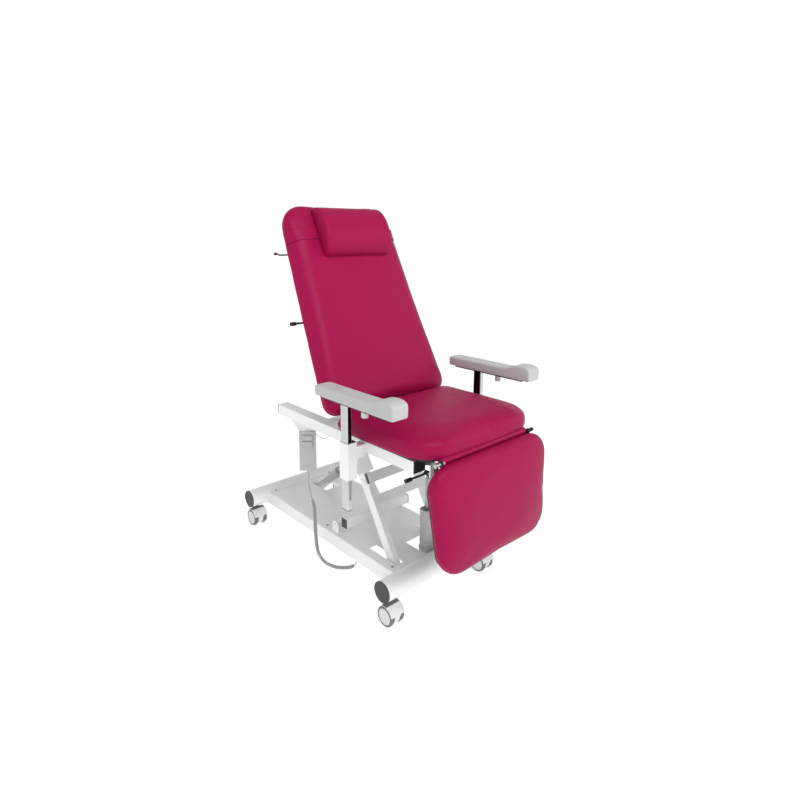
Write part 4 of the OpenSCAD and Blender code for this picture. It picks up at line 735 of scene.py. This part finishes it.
# Place of a caster's stem across, from there to a wheel, the wheel's trail behind the stem, its radius,
# and the wheelbase
WHEEL_X, WHEEL_GAP, TRAIL, WHEEL_R, WHEELBASE = 256, 13, 15, 37.5, 960
for end, axle_y in (("front", 0), ("rear", WHEELBASE)):
    for side, sign in (("near", -1), ("far", 1)):
        place = f"{end}_{side}"
        for k, hand in enumerate((-1, 1)):
            middle = at(sign * WHEEL_X + hand * WHEEL_GAP, axle_y - TRAIL, WHEEL_R)
            tread = turned(f"tread_{place}_{k}", [(r, hand * x) for r, x in TREAD], middle)
            disc = turned(f"wheel_disc_{place}_{k}", [(r, hand * x) for r, x in DISC], middle)
            keep(tread, tread_rubber, f"wheels_{place}", "tread", *([f"wheels_{place}"] if k == 0 else []))
            keep(disc, disc_moulding, f"wheels_{place}", "white_plastic")


# Upper release lever: a thin rod, cranked up at its end, with a small knob
LEVER = [(0.1, 0), (3, 0), (3, -78), (3, -84), (3.6, -87), (5.2, -90), (5.8, -93.5), (5.2, -97), (3.2, -99.2),
         (0.1, -99.6)]
LEVER_ROOT, CRANKED = at(-217, 604, 1296), 80.5
lever_rod = turned("release_rod", LEVER, LEVER_ROOT, 32)
with editing(lever_rod) as edit:
    edit.pick(lambda v: v.co.x < LEVER_ROOT.x - CRANKED * MM, "verts")
    bpy.ops.transform.translate(value=(0, 0, 0.005))
keep(lever_rod, black_moulding, "lever_upper", "black_plastic", "lever_upper")

# Handset: two moulded halves that meet in a fine groove, drawn upright and then turned
HANDSET_W, HANDSET_D, HANDSET_H = 66, 25, 165
# Along the depth, the groove's edges, and how deep it is
GROOVE, GROOVE_DEPTH = (1.1, 2.1), 0.9


def place_handset(piece):
    """Takes a piece that is drawn upright at the origin to the handset's place."""
    piece.matrix_world = Matrix.Translation(at(-272, 470, 435)) @ Matrix.Rotation(math.radians(-40), 4, "Z")
    settle(piece)


handset_body = add_box_mm("handset_body", (-HANDSET_W / 2, -HANDSET_D / 2, 0),
                          (HANDSET_W / 2, HANDSET_D / 2, HANDSET_H))
with editing(handset_body) as edit:
    for y in GROOVE:
        edit.cut((0, y * MM, 0), (0, 1, 0))
    edit.pick(lambda f: abs(f.calc_center_median().y - sum(GROOVE) / 2 * MM) < 0.0003)
    bpy.ops.mesh.extrude_region_shrink_fatten(TRANSFORM_OT_shrink_fatten={"value": -GROOVE_DEPTH * MM})
    # The face slopes back towards the top end
    edit.pick(lambda v: v.co.z > (HANDSET_H - 1) * MM and v.co.y < -(HANDSET_D / 2 - 0.5) * MM, "verts")
    bpy.ops.transform.translate(value=(0, 0.0035, 0))
round_edges(handset_body, 3.2, 4, 50)
place_handset(handset_body)
keep(handset_body, grey_moulding, "seat", "grey_plastic", "handset")

# Two keys that stand just proud of the handset's face, each in a darker outline that is painted shade of the
# gap round it
for name, top in (("key_up", 150), ("key_down", 123)):
    gap_shade_plate = add_box_mm(name + "_outline", (-21.8, -12.75, top - 21.8), (21.8, -10.5, top + 0.8))
    key = add_box_mm(name + "_cap", (-20.6, -13.4, top - 20.6), (20.6, -10.5, top - 0.4))
    for piece in (gap_shade_plate, key):
        with editing(piece) as edit:
            edit.pick(lambda e: abs((e.verts[0].co - e.verts[1].co).y) > 0.002, "edges")
            bpy.ops.mesh.bevel(offset=0.0028, segments=5)
        round_edges(piece, 0.35, 2, 50)
        place_handset(piece)
    keep(gap_shade_plate, key_gap_shade, "seat", "dark_plastic")
    keep(key, grey_moulding, name, "light_plastic", name)

# Strain relief: a sleeve that narrows at its foot
relief = add_round("handset_relief", at(-272, 470, 415), 4.5, 40, "Z", 24)
with editing(relief) as edit:
    for z in range(398, 434, 5):
        edit.cut(at(0, 0, z), (0, 0, 1))
    edit.pick(lambda v: v.co.z < 0.3955, "verts")
    bpy.ops.transform.resize(value=(0.5, 0.5, 1))
round_edges(relief, 0.5, 2)
keep(relief, grey_moulding, "seat", "dark_plastic")

# Holder: a bent sheet from under the seat rail down to the handset's top
holder = add_grid("holder_sheet", 9, 7, lambda u, v: bowed(
    (-279, 585 - 180 * u, 624), (-285 + 19 * u, 543 - 112 * u, 611.5), (-297 + 50 * u, 491 - 42 * u, 600), v))
sheet = holder.modifiers.new("thickness", "SOLIDIFY")
sheet.thickness, sheet.offset = 0.002, 0
round_edges(holder, 0.5, 2, 60)
keep(holder, powder_white, "seat", "light_sheet", "handset_holder")

# Wire hook beside the handset, bent from one rod
HOOK_D = 2.8
hook_path = [(-250, 447, 593), (-251, 434, 587), (-256, 408, 586.5), (-262, 380, 591), (-268, 352, 602),
             (-273, 327, 614), (-276, 312, 625)]
wire_hook = add_curve("wire_hook", "NURBS", [at(*p) for p in hook_path], HOOK_D)
wire_hook.data.splines[0].use_endpoint_u = True
select_only(wire_hook)
bpy.ops.object.convert(target="MESH")
bpy.ops.object.shade_smooth()
keep(wire_hook, satin_steel, "seat", "satin_steel")

# Roll of cloth along the gap between the seat and the legrest
roll_low, roll_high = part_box("leg_roll")
roll = add_round("gap_roll", [(a + b) / 2 for a, b in zip(roll_low, roll_high)],
                 (roll_high[2] - roll_low[2]) / MM / 2, (roll_high[0] - roll_low[0]) / MM, "X", 32)
# The cloth hangs a little lower behind the legrest's edge
with editing(roll) as edit:
    edit.pick(lambda v: v.co.z < (roll_low[2] + roll_high[2]) / 2 - 0.001, "verts")
    bpy.ops.transform.translate(value=(0, 0.005, -0.008))
round_edges(roll, 2.4, 3)
keep(roll, vinyl, "seat", "vinyl", "leg_roll")

# Strap that holds the head pillow, round the whole backrest: half its width, how far it goes to the
# front and to the rear, and its place up the back
STRAP_HALF, STRAP_FRONT, STRAP_REAR, STRAP_LOW, STRAP_TOP = 284, 86, -23, 701, 749
strap = add_box_mm("pillow_band", (-STRAP_HALF, STRAP_LOW, STRAP_REAR), (STRAP_HALF, STRAP_TOP, STRAP_FRONT))
with editing(strap) as edit:
    edit.pick(lambda f: abs(f.normal.y) > 0.9)
    bpy.ops.mesh.delete(type="FACE")
    edit.pick(lambda v: v.co.z < 0, "verts")
    bpy.ops.transform.resize(value=(0.82, 1, 1))
    edit.pick(lambda e: abs((e.verts[0].co - e.verts[1].co).y) > 0.04, "edges")
    bpy.ops.mesh.bevel(offset=0.024, segments=10)
    bpy.ops.mesh.select_all(action="SELECT")
    bpy.ops.mesh.normals_make_consistent(inside=False)
    for y in (STRAP_LOW + 2, STRAP_LOW + 6, (STRAP_LOW + STRAP_TOP) / 2, STRAP_TOP - 6, STRAP_TOP - 2):
        edit.cut((0, y * MM, 0), (0, 1, 0))
    for x in range(-260, 261, 20):
        edit.cut((x * MM, 0, 0), (1, 0, 0))
    for z in (56, 47, 38, 29, 20, 13):
        edit.cut((0, 0, z * MM), (0, 0, 1))
strap.matrix_world = back_place
settle(strap)
# Pulled tight over the front and sides of the cushion
on_pad = strap.vertex_groups.new(name="on_pad")
on_pad.add([v.index for v in strap.data.vertices if (back_in @ v.co).z > 0.012], 1.0, "REPLACE")
wrap = strap.modifiers.new("tight", "SHRINKWRAP")
wrap.target, wrap.wrap_method, wrap.wrap_mode = back_cushion, "NEAREST_SURFACEPOINT", "OUTSIDE_SURFACE"
wrap.offset, wrap.vertex_group = 0.0026, "on_pad"
band = strap.modifiers.new("cloth", "SOLIDIFY")
band.thickness = 0.0024
band.offset = 0
round_edges(strap, 0.6, 2, 60)
keep(strap, vinyl, "backrest", "vinyl", "pillow_strap")

# Board under the seat, sawn with round corners that stay under the cushion
BOARD_FRONT, BOARD_LOW, BOARD_TOP = -204, 664.3, 670
board_line = outline(562, 562, 440, 108, 28)
n = len(board_line)
board = from_points("seat_plywood",
                    [at(x, y + BOARD_FRONT, z) for z in (BOARD_LOW, BOARD_TOP) for x, y in board_line],
                    [list(range(n))[::-1], list(range(n, 2 * n))]
                    + [(i, (i + 1) % n, n + (i + 1) % n, n + i) for i in range(n)])
round_edges(board, 1, 2, 50)
keep(board, board_black, "seat", "black_board", "seat_board")

# Cover screws: six domed screws with a socket for a key, the others placed from the first
SCREW_SHIFTS = ((-10, -439), (-12, -854), (322, 0), (332, -439), (334, -854))
screw = add_round("cover_screw", at(-161, 923, 146.6), 6, 2.4, "Z", 24)
with editing(screw) as edit:
    edit.pick(lambda f: f.normal.z > 0.9)
    bpy.ops.mesh.inset(thickness=0.0018)
    bpy.ops.transform.translate(value=(0, 0, 0.0009))
    bpy.ops.mesh.inset(thickness=0.0016)
    bpy.ops.mesh.extrude_region_move(TRANSFORM_OT_translate={"value": (0, 0, -0.0016)})
round_edges(screw, 0.25, 2)
screws = [moved_copy(screw, f"cover_screw_{k}", Vector((x, y, 0)) * MM)
          for k, (x, y) in enumerate(SCREW_SHIFTS)]
for piece in [screw] + screws:
    keep(piece, zinc_steel, "base", "satin_steel")

# Floor, light and background
bpy.ops.object.select_all(action="DESELECT")
bpy.ops.mesh.primitive_plane_add(size=30, location=(0, 0, 0))
floor = bpy.context.object
floor.name = "studio_floor"
# Matt paper lit through from below, as on a light table
paper = finish_with("studio_paper", ("#E4E4E4", "#E8E8E8"), 0.9)
paper_inputs = paper.node_tree.nodes["Principled BSDF"].inputs
paper_inputs["Emission Color"].default_value = (1, 1, 1, 1)
paper_inputs["Emission Strength"].default_value = 0.5
floor.data.materials.append(paper)


def lamp(name, place, power, size):
    """A square lamp, size metres wide, turned to the chair's middle."""
    light = bpy.data.lights.new(name, "AREA")
    light.shape = "RECTANGLE"
    light.size = light.size_y = size
    light.energy = power
    fitting = bpy.data.objects.new(name, light)
    bpy.context.scene.collection.objects.link(fitting)
    fitting.location = place
    fitting.rotation_euler = (LIT - Vector(place)).to_track_quat("-Z", "Y").to_euler()


LIT = Vector((0, 0, 0.7))
lamp("key_light", (-0.8, -2.8, 4.0), 100, 2.2)
lamp("side_light", (2.6, -2.4, 2.2), 12, 2.0)
# Sky, brightest at the horizon and dimmer above
world = bpy.data.worlds.new("studio")
bpy.context.scene.world = world
world.use_nodes = True
sky = world.node_tree
glow = node(sky, "ShaderNodeMapRange", _0=node(sky, "ShaderNodeSeparateXYZ",
            _0=node(sky, "ShaderNodeTexCoord").outputs["Generated"]).outputs["Z"],
            From_Min=0.38, From_Max=0.6, To_Min=1.02, To_Max=0.5)
sky.nodes["Background"].inputs["Color"].default_value = (1, 1, 1, 1)
sky.links.new(glow.outputs[0], sky.nodes["Background"].inputs["Strength"])
bpy.context.scene.view_settings.view_transform = "Standard"
